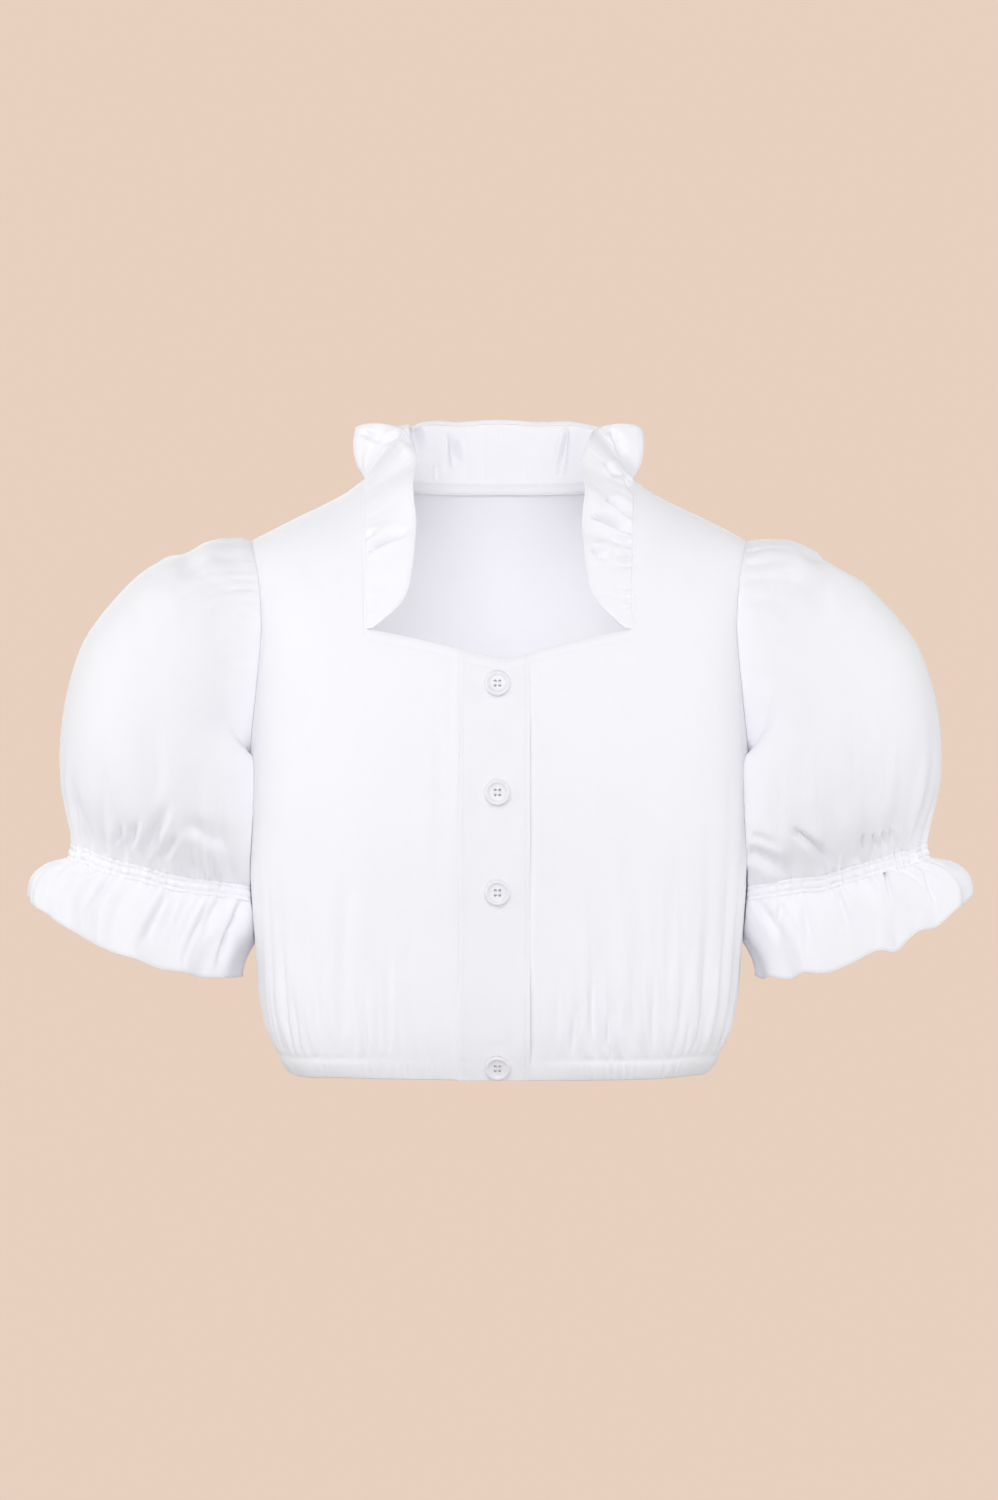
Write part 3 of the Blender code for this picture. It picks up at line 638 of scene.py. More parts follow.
# ---- Fronts ----------------------------------------------------------------------------
# Two panels of the same cotton. Each runs from the side seam to the closing and up over the
# shoulder; its neckline is turned in and topstitched, and its hem is gathered like the back's.

SEAM = 0.4  # from a seam's line to the edge of the cloth on each side of it
NECK_CORNER_X = 87.5
HEART_DIP, HEART_MIDDLE, HEART_POWER, HEART_ROUND = 24.0, 3.0, 0.75, 6.0
PLACKET_RIGHT, PLACKET_LEFT = -25.5, 20.0
LAP, LAP_FADE, UNDERLAP = 1.5, 55.0, 9.0
CORNER_STEP = 0.15  # from one point to the next in the neckline's turned-in corner
NECK_CALM, CLOSING_CALM = 9.0, 7.0  # folds are lower this near to the neckline and the closing
FRONT_HILLS, FRONT_HILLS_TOP = Hills(1.1, 52.0, 120.0), 400.0
FRONT_INNER, FRONT_OUTER = 44, 74
Fullness = namedtuple("Fullness", "across amount")
FULLNESS = {
    -1: rows_of(Fullness, (20, 0.35), (60, 0.4), (80, 0.55), (105, 0.95), (150, 1.05), (230, 0.95)),
    1: rows_of(Fullness, (10, 0.3), (26, 0.45), (50, 1), (110, 1.2), (160, 1.2), (230, 1)),
}
FRONT_CREASES = rows_of(
    Crease,
    (-40, -150, -39, -302, 6, 1.4), (-121, -386, -124, -292, 4.2, 3.8),
    (-104, -386, -100, -262, 4.6, 4), (-88, -385, -90, -318, 3.2, 3),
    (-72, -386, -73, -300, 3, 2.2), (-133, -385, -140, -322, 3.6, 3.2),
    (48, -386, 55, -338, 3.2, 4.5), (60, -386, 66, -300, 3.4, 4.2),
    (70, -385, 80, -334, 3.2, 4.2), (90, -386, 89, -268, 3.8, 4),
    (103, -385, 102, -322, 3, 3.5), (113, -386, 114, -246, 3.6, 4.5),
    (126, -385, 124, -312, 3.4, 3.5), (138, -386, 143, -286, 4.6, 4.2),
    (37, -385, 38, -322, 3, 2.2), (64, -250, 62, -176, 9, 1.2),
    (106, -236, 118, -168, 10, 1.4), (-150, -190, -112, -138, 10, 1.8),
    (150, -192, 116, -130, 9, 1.8), (132, -50, 106, -88, 8, 1.2),
    (-134, -52, -108, -84, 8, 1), (21, -134, 34, -137, 2.4, 2.2),
    (21, -147, 30, -148, 1.8, 1.6),
)


def neckline(x):
    """Height of the front neckline's lower edge."""
    aside = np.hypot(x - HEART_MIDDLE, HEART_ROUND)
    half = np.hypot(NECK_CORNER_X - np.sign(x) * HEART_MIDDLE, HEART_ROUND)
    return CHEST - HEART_DIP * (1 - (aside / half) ** HEART_POWER)


def front_forms(side):
    """The smooth form of one front: all of it below the chest line, and its yoke."""
    from_x = SEAM - PLACKET_RIGHT if side < 0 else PLACKET_LEFT - UNDERLAP
    x = np.linspace(from_x, NECK_CORNER_X, FRONT_INNER + 1)
    low = half_panel("front", from_x, NECK_CORNER_X, FRONT_INNER, FRONT_OUTER, neckline(side * x))
    high = yoke(low, "front", shoulder_seam(FRONT_OUTER), np.array([0.0, 1.0, 0.0]), FRONT_OUTER)
    if side < 0:
        low[..., 1] -= LAP * (1 - smooth((low[..., 0] - from_x) / LAP_FADE))
    return low * [side, 1, 1], high * [side, 1, 1]


def front_facing(low, high, side):
    """Outward normals of both parts of a front, which meet along the chest line."""
    outer = facing(np.concatenate([low[:, FRONT_INNER:], high])) * side
    inner = facing(low)[:, :FRONT_INNER] * side
    return np.concatenate([inner, outer[: len(low)]], axis=1), outer[len(low) :]


def with_neck_edge(low, high, low_out, high_out):
    """Both parts of a front as one grid, with the neckline's turned-in edge beside its opening."""
    chest, columns = len(low) - 1, low.shape[1]
    points, normals = (np.zeros((len(low) + len(high), columns, 3)) for _ in range(2))
    points[: chest + 1], normals[: chest + 1] = low, low_out
    points[chest + 1 :, FRONT_INNER:], normals[chest + 1 :, FRONT_INNER:] = high, high_out
    empty = np.zeros(points.shape[:2], dtype=bool)
    empty[chest + 1 :, :FRONT_INNER] = True
    rise, aside = unit(low[-1] - low[-2]), unit(high[:, 0] - high[:, 1])
    turns = list(enumerate(ROLL, start=1))
    for k, (deep, past) in turns:
        points[chest + k, :FRONT_INNER] = (low[-1] - deep * low_out[-1] + past * rise)[:FRONT_INNER]
        points[chest + 1 :, FRONT_INNER - k] = high[:, 0] - deep * high_out[:, 0] + past * aside
        empty[chest + k, :FRONT_INNER] = False
        empty[chest + 1 :, FRONT_INNER - k] = False
    for k, _ in turns:
        for m, _ in turns:
            deep = ROLL[max(k, m) - 1][0]
            corner = low[-1, FRONT_INNER] - deep * low_out[-1, FRONT_INNER]
            past = CORNER_STEP * (k * rise[FRONT_INNER] + m * aside[0])
            points[chest + k, FRONT_INNER - m] = corner + past
    return points, normals, empty


def front_panel(side, label):
    """A front's piece, and its surface and normals for the pieces that are sewn to it."""
    low, high = front_forms(side)
    low_out, high_out = front_facing(low, high, side)
    shaped = []
    for part, out in ((low, low_out), (high, high_out)):
        across, above = round_body(part, start=abs(part[0, 0, 0])), part[..., 2] - HEM
        at_side = smooth((across[:, -1:] - across) / SEAM_CALM)
        at_closing = smooth((across - abs(low[0, 0, 0])) / CLOSING_CALM)
        fullness = read(FULLNESS[side], "amount", across, key="across")
        fullness = fullness * (SEAM_FOLDS + OPEN_FOLDS * at_side)
        height = hem_folds(across, above, fullness * at_closing, seed=31 + side)
        hills = unevenness(across, above, FRONT_HILLS, seed=61 + side)
        height += hills * at_side * at_closing * smooth((FRONT_HILLS_TOP - above) / HILLS_FADE)
        height -= creased(part, out, FRONT_CREASES) * at_side
        if part is low:
            under_neck = smooth((neckline(part[..., 0]) - part[..., 2]) / NECK_CALM + 0.4)
            height *= np.where(np.abs(part[..., 0]) < NECK_CORNER_X + 6, under_neck, 1)
        shaped.append(part + out * height[..., None])
    low, high = shaped
    points, normals, empty = with_neck_edge(low, high, *front_facing(low, high, side))
    sewn = with_casing(points, normals, first_column=side < 0)
    empty = np.pad(empty, ((len(TURN_UP), len(ROLL)), (len(ROLL) * (side < 0), len(ROLL))), mode="edge")
    piece = cloth(f"front_panel_{label}", sewn, left_out=empty)
    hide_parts(f"front_{label}")
    return piece, points, normals


fronts = {}
for side, label, area in ((-1, "right", 0.088), (1, "left", 0.094)):
    fronts[side] = front_panel(side, label)

# ---- Button bands ----------------------------------------------------------------------
# Two straight bands of doubled cotton. The upper one is sewn to the wearer's right front and
# topstitched along both edges; its free edge lies on the left front, over the lower band.

BAND_COLUMNS, UNDER_COLUMNS, BAND_CLOTH, BAND_DROP = 34, 10, 0.6, 0.9
BAND_COVER = 0.8  # of the front's edge, inside the doubled band
STITCH_IN = 2.3  # from a band's edge to its topstitching
STITCH, STITCH_STEP, THREAD = 2.0, 2.8, 0.34  # length of a stitch, one to the next, thickness
BAND_HILLS = Hills(0.4, 26.0, 46.0)
FREE_EDGE, FREE_LIFT = 13.0, 1.5  # width of the band's free edge, and how far it stands off
SEWN_LINE, SEWN_PRESS = 0.7, 0.32  # width and depth of a topstitched line
PUCKER_PITCH, PUCKER_WIDTH, PUCKER_RISE = 3.4, 3.0, 0.16  # puckers along it
CASING_LINE, CASING_PRESS = 1.2, 0.35  # width and depth of the hem's sewn line in the band
ALL_ROUND = {"first_row": True, "last_row": True, "first_column": True, "last_column": True}
BAND_CREASES = rows_of(
    Crease,
    (-8, -379.5, 11, -378.5, 1.5, 0.8), (-9, -298, 12, -296.5, 1.6, 0.5),
    (-11, -290, 7, -291, 1.4, 0.45), (-12, -152.5, 10, -151.5, 1.5, 0.5),
)


def band_form(lift, left_edge, columns):
    """A band over the whole height of the closing, lift in front of the torso's ring."""
    x = np.linspace(PLACKET_RIGHT - BAND_COVER, left_edge, columns + 1)
    z = raised_heights(panel_heights(), neckline(x))
    wide = np.broadcast_to(x, z.shape)
    return np.stack([wide, torso_y(wide, z, "front") - lift, z], axis=-1)


def between(points, normals, at):
    """The line and normals at a row's place between the rows of a grid, such as 3.4."""
    low = int(at)
    t = at - low
    return points[low] * (1 - t) + points[low + 1] * t, normals[low] * (1 - t) + normals[low + 1] * t


def row_at(points, column, height):
    """A row's place at a height, read along one column of a grid."""
    return float(np.interp(height, points[:, column, 2], np.arange(len(points))))


def cotton_thread(name):
    """Fine twisted sewing thread, a little whiter and smoother than the cloth."""
    made, tree, shader = blank_material(name)
    place = node(tree, "ShaderNodeTexCoord")
    band = {"Vector": place.outputs["Object"], "Scale": 180.0, "Distortion": 2.0}
    twist = node(tree, "ShaderNodeTexWave", band, wave_type="BANDS", bands_direction="DIAGONAL")
    bumps = {"Height": twist.outputs["Fac"], "Strength": 0.4, "Distance": 0.1 * MM}
    ply = node(tree, "ShaderNodeBump", bumps)
    fill(tree, shader, {"Base Color": (0.86, 0.86, 0.9, 1.0), "Roughness": 0.6, "Normal": ply.outputs[0]})
    return made


SEWING_THREAD = cotton_thread("sewing_thread")


def stitching(name, lines, cloth_thickness=CLOTH):
    """Rows of lockstitches; each line is points and normals on the cloth that it is sewn in."""
    made = bmesh.new()
    for points, normals in lines:
        length = lengths(points)
        count = max(1, round(length[-1] / STITCH_STEP))
        at = (np.arange(count) + 0.5) * length[-1] / count
        given = (points, np.gradient(points, axis=0), normals)
        place, along, out = (points_at(part, length, at) for part in given)
        along, out = unit(along), unit(out)
        place = place + out * (cloth_thickness / 2 + 0.1 * THREAD)
        for middle, way, up in zip(place, along, out):
            aside = unit(np.cross(up, way))
            axes = [aside * THREAD, np.cross(way, aside) * THREAD, way * STITCH]
            turn = np.eye(4)
            turn[:3, :3] = np.stack(axes, axis=1) / 2
            turn[:3, 3] = middle
            turn[:3] *= MM
            bmesh.ops.create_uvsphere(made, u_segments=5, v_segments=4, radius=1, matrix=Matrix(turn))
    return shown(name, meshed(name, made), SEWING_THREAD)


form = band_form(LAP + 0.2, PLACKET_LEFT, BAND_COLUMNS)
out = facing(form)
x, z = form[..., 0], form[..., 2]
sewn_at = (PLACKET_RIGHT + STITCH_IN, PLACKET_LEFT - STITCH_IN)
height = unevenness(x, z - HEM, BAND_HILLS, seed=81)
at_free_edge = smooth((x - PLACKET_LEFT + FREE_EDGE) / FREE_EDGE)
height += FREE_LIFT * at_free_edge * smooth(0.5 + 0.9 * wander(z, 60.0, seed=83))
for at, seed in zip(sewn_at, (85, 87)):
    height -= SEWN_PRESS * bell((x - at) / SEWN_LINE)
    height += PUCKER_RISE * wander(z, PUCKER_PITCH, seed) * bell((x - at) / PUCKER_WIDTH)
height -= CASING_PRESS * bell((z - HEM - CASING) / CASING_LINE)
height -= creased(form, out, BAND_CREASES)
placket_surface = form + out * height[..., None]
placket_out = facing(placket_surface)
sewn, _ = rolled(placket_surface, placket_out, **ALL_ROUND)
placket = cloth("placket_band_top", sewn, thickness=BAND_CLOTH)
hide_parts("placket_band")

form = band_form(-BAND_DROP, PLACKET_LEFT - 1.0, UNDER_COLUMNS)
sewn, _ = rolled(form, facing(form), **ALL_ROUND)
under = cloth("button_band_under", sewn, thickness=BAND_CLOTH)
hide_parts("button_band")

columns = [nearest(placket_surface[0, :, 0], at) for at in sewn_at]
lines = [(placket_surface[:, column], placket_out[:, column]) for column in columns]
lines.append(between(placket_surface, placket_out, row_at(placket_surface, 5, HEM + CASING)))
lines.append((placket_surface[-3], placket_out[-3]))
stitching("stitching_placket", lines, BAND_CLOTH)
hem_lines = [between(back_surface, back_out, row_at(back_surface, BACK_INNER, HEM + CASING))]
neck_lines = []
for side, (_, points, normals) in fronts.items():
    hem_lines.append(between(points, normals, row_at(points, FRONT_INNER + 10, HEM + CASING)))
    chest = len(panel_heights()) - 1
    heart = between(points, normals, chest - 1.6)
    neck_lines.append(tuple(part[1 : FRONT_INNER + 2] for part in heart))
    neck_lines.append(tuple(part[chest - 1 :, FRONT_INNER + 2] for part in (points, normals)))
stitching("stitching_hem", hem_lines)
stitching("stitching_neckline", neck_lines)

# ---- Neck frill ------------------------------------------------------------------------
# One long straight strip of the cotton, gathered and sewn to the neckline from one front
# corner round the back to the other, with a narrow hem; a flat binding covers its back seam.

Stand = namedtuple("Stand", "share width lean curl wave")
NECK_FRILL = rows_of(
    Stand,
    (0, 4, -62, 0, 0),
    (0.045, 25, -60, 0, 0.3),
    (0.11, 34, -58, 0, 0.8),
    (0.28, 40, -54, 0, 1.8),
    (0.42, 44, -46, 0, 2.4),
    (0.5, 42, -34, -4, 2.4),
    (0.58, 38, 39, -30, 1.2),
    (0.66, 39, 16, -4, 2),
    (0.8, 48.5, 8, 3, 2.2),
    (1, 51.5, 5, 3, 1.8),
)
NECK_WAVES, NECK_COLUMNS, NECK_ROWS = 6.5, 660, 34
NECK_GATHERS = rows_of(Gathering, (4.4, 1.5, 9, 0.8), (8.6, 4, 22, 1.3), (17, 9, 55, 1.7))
NARROW_HEM = ((2.4, 0.66), (2.1, 0.54), (0.5, 0.5), (0.0, 0.28))
HEM_SEWN, GROOVE_DEPTH, GROOVE_WIDTH, EDGE_ROUND = 1.7, 0.28, 0.6, 0.12
NECK_CREASES = rows_of(
    Crease,
    (60, -28, 94, -41, 2.9, 13.8), (71, -16.5, 90, -29.8, 2.8, 11.2),
    (91, -45.2, 70, -43, 2.1, 7.5), (91, -48.8, 78, -48.2, 1.7, 3.8),
    (91, -54, 73, -53, 2, 6.9), (60, -52, 74, -57.6, 2.5, 10),
    (91, -60, 75, -60.6, 2, 6.2), (91, -76.1, 77, -74.5, 1.8, 3.8),
    (91, -82, 78, -81.5, 1.8, 3.8), (90, -88, 79, -88.5, 1.8, 3.4),
    (-88, -52, -58, -37, 2.7, 13.1), (-94, -45, -78, -39, 2.1, 4.1),
    (-60.5, 46, -55, 10, 3.8, 15), (-66, 28, -55, 17, 3.6, 4.5),
    (-34, 37, -30.5, 8, 3.2, 13), (-45, 15, -44, 0, 1.1, 3),
    (47, 42, 41, 0, 2.1, 11), (74.4, 34, 84, 13, 2.6, 12),
    (71, 10, 79, -2, 2.2, 8), (82.5, 1.5, 90.6, -12, 2.2, 8),
    (-94, 33, -79, 24, 2, 7), (-66, 32, -81, 24.5, 2, 7),
)
NECK_HILLS = Hills(0.9, 21.0, 30.0)
NECK_SWAY, NECK_SWAY_LENGTH, WAVE_POWER = 1.3, 60.0, 1.5  # the waves grow by this power of the height
CORNER_CALM, HILLS_RISE, SEAM_LEAST, SEAM_RISE = 0.06, 12, 0.25, 3.0
FRONT_END, FRONT_FADE = 0.5, 0.12  # where the frill's front parts end, as shares of the way to its middle
LEFT_FOLDS, OTHER_FOLDS = 1.0, 0.55  # height of its gathers on the wearer's left front, and elsewhere
BINDING_ROWS, BINDING_GROOVE, BINDING_PULL, BINDING_PULL_LENGTH = 8, 0.22, 0.1, 2.6
BINDING_FOOT, BINDING_HEIGHT, BINDING_CLOTH, BINDING_OUT = -0.9, 6.6, 0.7, 0.9
BINDING_START, BINDING_STOP = 0.305, 0.695  # its ends, as shares of the way round the neck
BINDING_LINES = 0.34  # its two sewn lines, from its middle, as a share of its height
BINDING_FADE = 5.0  # the frill's folds come in over this height above it


def neck_seam():
    """The seam of the frill from the wearer's left front corner round the back to the right one."""
    left, right = (fronts[side][1][len(panel_heights()) - 1 :, FRONT_INNER] for side in (1, -1))
    behind = back_surface[-1, BACK_OUTER + 1 : BACK_OUTER + 2 * BACK_INNER][::-1]
    return evenly(np.concatenate([left, behind, right[::-1]]), NECK_COLUMNS)


def neck_frill(base):
    """The frill's rows from its seam up, with its large waves, and how far each column is round."""
    along = unit(np.gradient(base, axis=0))
    out = unit(np.cross(along, [0.0, 0.0, 1.0]))
    up = np.cross(out, along)
    length = lengths(base)
    share = 1 - np.abs(2 * length / length[-1] - 1)
    columns = ("width", "lean", "curl", "wave")
    width, lean, curl, wave = (read(NECK_FRILL, column, share, key="share")[:, None] for column in columns)
    turn = 2 * math.pi * NECK_WAVES * share
    turn = turn + NECK_SWAY * wander(length, NECK_SWAY_LENGTH, seed=91) * share
    ripple = wave * np.cos(turn)[:, None]
    rows, place = [base + 2 * SEAM * up], base + 2 * SEAM * up
    for row in range(1, NECK_ROWS + 1):
        high = row / NECK_ROWS
        angle = np.radians(lean + curl * (2 * high - 1 / NECK_ROWS))
        rise, face = np.cos(angle) * up + np.sin(angle) * out, np.cos(angle) * out - np.sin(angle) * up
        place = place + width / NECK_ROWS * rise
        rows.append(place + high**WAVE_POWER * ripple * face)
    return np.stack(rows), length, share


def hemmed(points, normals):
    """A grid and its normals with a narrow hem turned up behind the last row."""
    turned = turned_up(points[::-1], normals[::-1], NARROW_HEM)
    return np.concatenate([points, turned[::-1]]), np.concatenate([normals, normals[-len(turned) :]])


def hem_groove(away):
    """How deep the stitched line of a narrow hem lies, at distances from the free edge."""
    groove = GROOVE_DEPTH * bell((away - HEM_SEWN) / GROOVE_WIDTH)
    return groove - EDGE_ROUND * smooth(1 - away / HEM_SEWN)


base = neck_seam()
form, round_neck, share = neck_frill(base)
out = facing(form)
rise = lengths(form)
behind = smooth((share - FRONT_END) / FRONT_FADE)
ahead = np.where(round_neck < round_neck[-1] / 2, LEFT_FOLDS, OTHER_FOLDS)
fullness = (ahead * (1 - behind) + OTHER_FOLDS * behind) * smooth(share / CORNER_CALM)
clear_of_binding = 1 - behind * (1 - smooth((rise - BINDING_FOOT - BINDING_HEIGHT) / BINDING_FADE))
height = gathers(round_neck, rise + FROM_SEAM, NECK_GATHERS, seed=95) * fullness * clear_of_binding
height += unevenness(round_neck, rise, NECK_HILLS, seed=101) * fullness * smooth(rise / HILLS_RISE)
height -= creased(form, out, NECK_CREASES)
height += creased(form, -out, NECK_CREASES) * clear_of_binding
height -= hem_groove(rise[-1] - rise)
height *= smooth(SEAM_LEAST + rise / SEAM_RISE)
frill_surface = form + out * height[..., None]
frill_out = facing(frill_surface)
sewn, _ = rolled(*hemmed(frill_surface, frill_out), first_row=True)
collar = cloth("neck_frill", sewn)
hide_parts("collar_frill")
from_edge = (HEM_SEWN / np.maximum(rise[-1] - rise[-2], 0.2))[:, None].clip(0, 6)
hem_line = frill_surface[-1] + (frill_surface[-2] - frill_surface[-1]) * from_edge
sewing = stitching("stitching_neck_frill", [(hem_line[12:-12], frill_out[-2][12:-12])])

start, stop = (nearest(round_neck, round_neck[-1] * at) for at in (BINDING_START, BINDING_STOP))
foot = form[0, start : stop + 1]
rise_way = unit(form[3, start : stop + 1] - foot)
inward = -facing(form)[1, start : stop + 1]
tall = shares(BINDING_ROWS)[:, None, None]
strip = foot + rise_way * (BINDING_FOOT + BINDING_HEIGHT * tall) + inward * BINDING_OUT
strip_in = np.broadcast_to(inward, strip.shape)
groove = bell((np.abs(tall[..., 0] - 0.5) - BINDING_LINES) * BINDING_HEIGHT / GROOVE_WIDTH)
pull = BINDING_PULL * wander(round_neck[start : stop + 1], BINDING_PULL_LENGTH, seed=103)
strip = strip - strip_in * (BINDING_GROOVE * groove + pull * (1 - groove))[..., None]
sewn, _ = rolled(strip[:, ::-1], strip_in[:, ::-1], **ALL_ROUND)
binding = cloth("neck_binding_strip", sewn, thickness=BINDING_CLOTH)
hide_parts("neck_binding")
lines = [(strip[row], strip_in[row]) for row in (1, BINDING_ROWS - 1)]
sewing = stitching("stitching_neck_binding", lines, BINDING_CLOTH)

# ---- Sleeves ---------------------------------------------------------------------------
# Each puff is one panel sewn to a tube: gathered at its head into the armhole and at its
# lower edge into an elastic band, below which a gathered frill flares out over the arm.

Oval = namedtuple("Oval", "outer_x outer_z inner_x inner_z depth")
PUFF = rows_of(
    Oval,
    (168, -42, 169.5, -205, 50),
    (192, -43, 174, -210, 60),
    (216, -51, 174.5, -217, 68),
    (243, -66, 174, -224, 73),
    (265, -87, 173.5, -232, 76),
    (283, -112, 173, -240, 77),
    (293.5, -143, 173, -248, 75.5),
    (298.5, -174, 173, -256, 71),
    (299, -202, 173.5, -263, 64),
    (295, -223, 174.5, -270, 54),
    (291.5, -238, 175.5, -276.5, 44),
    (290, -248, 177, -281, 37),
)
BAND = rows_of(Oval, (290, -248, 177, -281, 37), (292.5, -258, 177.5, -291, 37))
Flare = namedtuple("Flare", "outer_x outer_z inner_x inner_z depth dip wave")
FRILL = rows_of(
    Flare,
    (292.5, -258, 177.5, -291, 37, 0, 0),
    (308, -262, 176.5, -306, 44, 3, 1.4),
    (318, -271, 176, -322, 50, 7, 2.4),
    (320, -284, 175.5, -338, 55, 12, 3.6),
)
PUFF_ROWS, BAND_ROWS, FRILL_ROWS, ARM_STEPS = 74, 14, 30, 3
FLARE_AT = (len(FRILL) - 1) * shares(FRILL_ROWS) ** 1.15  # where the frill's rows lie in it
Arm = namedtuple("Arm", "side label seed angles cuff inner")  # what the pieces of a sleeve share
CUFF_GATHERS = rows_of(Gathering, (5.8, 2, 12, 2.4), (11.5, 5, 34, 4), (24, 13, 78, 3.6))
HEAD_GATHERS = rows_of(Gathering, (6.2, 2.5, 10, 1), (13, 6, 28, 2.1), (26, 12, 52, 2.4))
FRILL_GATHERS = rows_of(Gathering, (5.8, 2, 14, 2.4), (11.5, 4, 40, 3.4))
BODY_PULL = 24.0  # how far a sleeve's inner side is drawn to the body at most
BODY_NEAR, BODY_CLEAR, CLEAR_OVER = 0.8, 1.5, 50.0  # how near it comes at the underarm, and lower down
AHEAD_FROM, AHEAD_OVER = 15.0, 45.0  # where it lies beside the body's front or back, not its side
PULL_RISE, PULL_START, PULL_SPREAD = 45.0, 4.0, 34.0  # there it is drawn in from higher up, more slowly
AT_SEAM = 1.6  # the gathers of puff, elastic and frill meet as if this far from the sewn line
SHIRRING, SHIRR_DEPTH, SHIRR_WIDTH = (0.26, 0.74), 0.9, 0.8
CUFF_SAG, CUFF_SAG_LENGTH = 1.2, 14.0
INNER_CALM = 0.6  # how much lower a sleeve's folds are beside the body
UNDER_SEAM_DEPTH, UNDER_SEAM_WIDTH = 0.6, 0.9
PUFF_HILLS, HEAD_HILLS = Hills(1.8, 46.0, 90.0), Hills(3.4, 17.0, 15.0)
HEAD_HILLS_END = 110.0  # below the sleeve's head
FLUTES, FLUTE_SCALLOP = 12, {-1: 0.12, 1: 0.75}  # a frill's round folds, and its edge's share of them
PUFF_EASE = 0.055  # brings a puff's rows closer together at both of its ends
PUFF_BLEND = 1.2  # rows of its table over which it leaves the armhole's form
HEAD_SEAM = 1.4  # of SEAM, from the armhole's line to its edge
AT_HEAD, HEAD_LEAST, HEAD_RISE, SOFT_RISE, CRUMPLE_RISE = 0.5, 0.1, 4, 30, 9
HEAD_FROM, HEAD_OVER, CRUMPLE_FROM, CRUMPLE_OVER = 0.45, 0.9, 0.3, 0.5  # cosines of the angle
PULL_FROM, PULL_OVER, CALM_FROM, CALM_OVER = 0.1, 0.7, 0.3, 0.6  # the same, towards its inner side
PULL_PARTS = 12  # a puff comes to be drawn in over the first of this many parts of its rows
SAG_POWER = 12  # the cuff's sag goes up into the puff by this power of the way down
BETWEEN_SHIRRING, SHIRR_FULL, SHIRR_LENGTH = 0.4, 1.6, 4.0
FLUTE_SWAY, FLUTE_SWAY_LENGTH = 0.11, 24.0
FLUTE_MEAN, FLUTE_SPREAD, FLUTE_LENGTH = 0.75, 0.45, 31.0
PUFF_CREASES = {
    1: rows_of(
        Crease,
        (194, -236, 228, -265, 2.6, 10.1), (162, -250, 202, -273, 5, 9),
        (166, -240, 192, -251, 2.6, 4.9), (243, -240, 247, -253, 1.5, 4.1),
        (249, -239, 253.5, -251, 1.5, 4.3), (255.5, -238, 259.5, -249, 1.5, 4.1),
        (262, -237, 266, -248, 1.5, 3.5), (205, -232, 200, -120, 8, 3.2),
        (232, -244, 238, -130, 7, 3.5), (252, -238, 262, -150, 6, 3),
        (275, -236, 284, -168, 5, 2.7), (188, -250, 184, -190, 5, 3.2),
        (179, -62, 198, -118, 5, 2.2),
    ),
    -1: rows_of(
        Crease,
        (-248, -252, -239, -227, 2.4, 6.2), (-238, -258, -216, -214, 3.4, 7.6),
        (-226, -260, -212, -236, 2.4, 4.6), (-258, -249, -250, -231, 1.8, 4.3),
        (-199, -262, -204, -180, 6, 3.2), (-186, -258, -184, -200, 4.5, 3),
        (-258, -240, -268, -172, 5.5, 2.7), (-280, -236, -287, -196, 4, 2.2),
        (-226, -222, -232, -130, 8, 2.2), (-216, -232, -168, -256, 6.5, 4.5),
        (-180, -66, -196, -112, 5, 1.9),
    ),
}
FRILL_CREASES = {
    1: rows_of(
        Crease,
        (258.5, -261, 264.5, -288, 1.6, 6.3), (226, -276, 238, -318, 3.2, 5.1),
        (285, -262, 299, -296, 2.6, 4.5), (174, -284, 183, -306, 3.4, 4.5),
        (180, -292, 190, -318, 3, 4.5), (190, -284, 187, -314, 3, 5.5),
        (204, -284, 209, -330, 3.4, 4.5),
    ),
    -1: rows_of(
        Crease,
        (-221, -276, -244, -324, 4.2, 12), (-187, -281, -204, -314, 3.6, 9),
        (-174, -282, -183, -322, 4, 7.5), (-195, -282, -214, -330, 2.2, 6),
        (-181, -298, -192, -338, 2.4, 7), (-262, -268, -280, -300, 2.4, 2.4),
        (-285, -262, -302, -284, 2.2, 2.1),
    ),
}


def arm_seam(side):
    """The armhole from the shoulder down its front and up its back, and the angles on it."""
    front = fronts[side][1][LOW_ROWS:, -1][::-1]
    behind = back_surface[LOW_ROWS + 1 :, -1 if side > 0 else 0]
    line = np.concatenate([front, behind])
    angles = np.concatenate([arm_angles()[::-1], 2 * math.pi - arm_angles()[1:]])
    at = np.arange(ARM_STEPS * (len(line) - 1) + 1) / ARM_STEPS
    scale = np.arange(len(line))
    return points_at(line, scale, at), np.interp(at, scale, angles)


def oval_rings(table, at, angles, side):
    """Rings of a sleeve at places between the rows of a table; angle 0 is their outer side."""
    across, sideways = (powered(part, ARM_POWER)[:, None] for part in (np.cos(angles), np.sin(angles)))
    value = {column: read(table, column, at, key=None)[:, None] for column in Oval._fields}
    outer, inner = (
        np.stack([side * value[f"{end}_x"], 0 * value["depth"], value[f"{end}_z"]], axis=-1)
        for end in ("outer", "inner")
    )
    rings = (outer + inner) / 2 + across * (outer - inner) / 2
    rings[..., 1] += SHOULDER_Y - value["depth"] * sideways[:, 0]
    return rings


def outward(rings, side):
    """Outward normals of a sleeve's rings."""
    return facing(rings, closed=True) * side


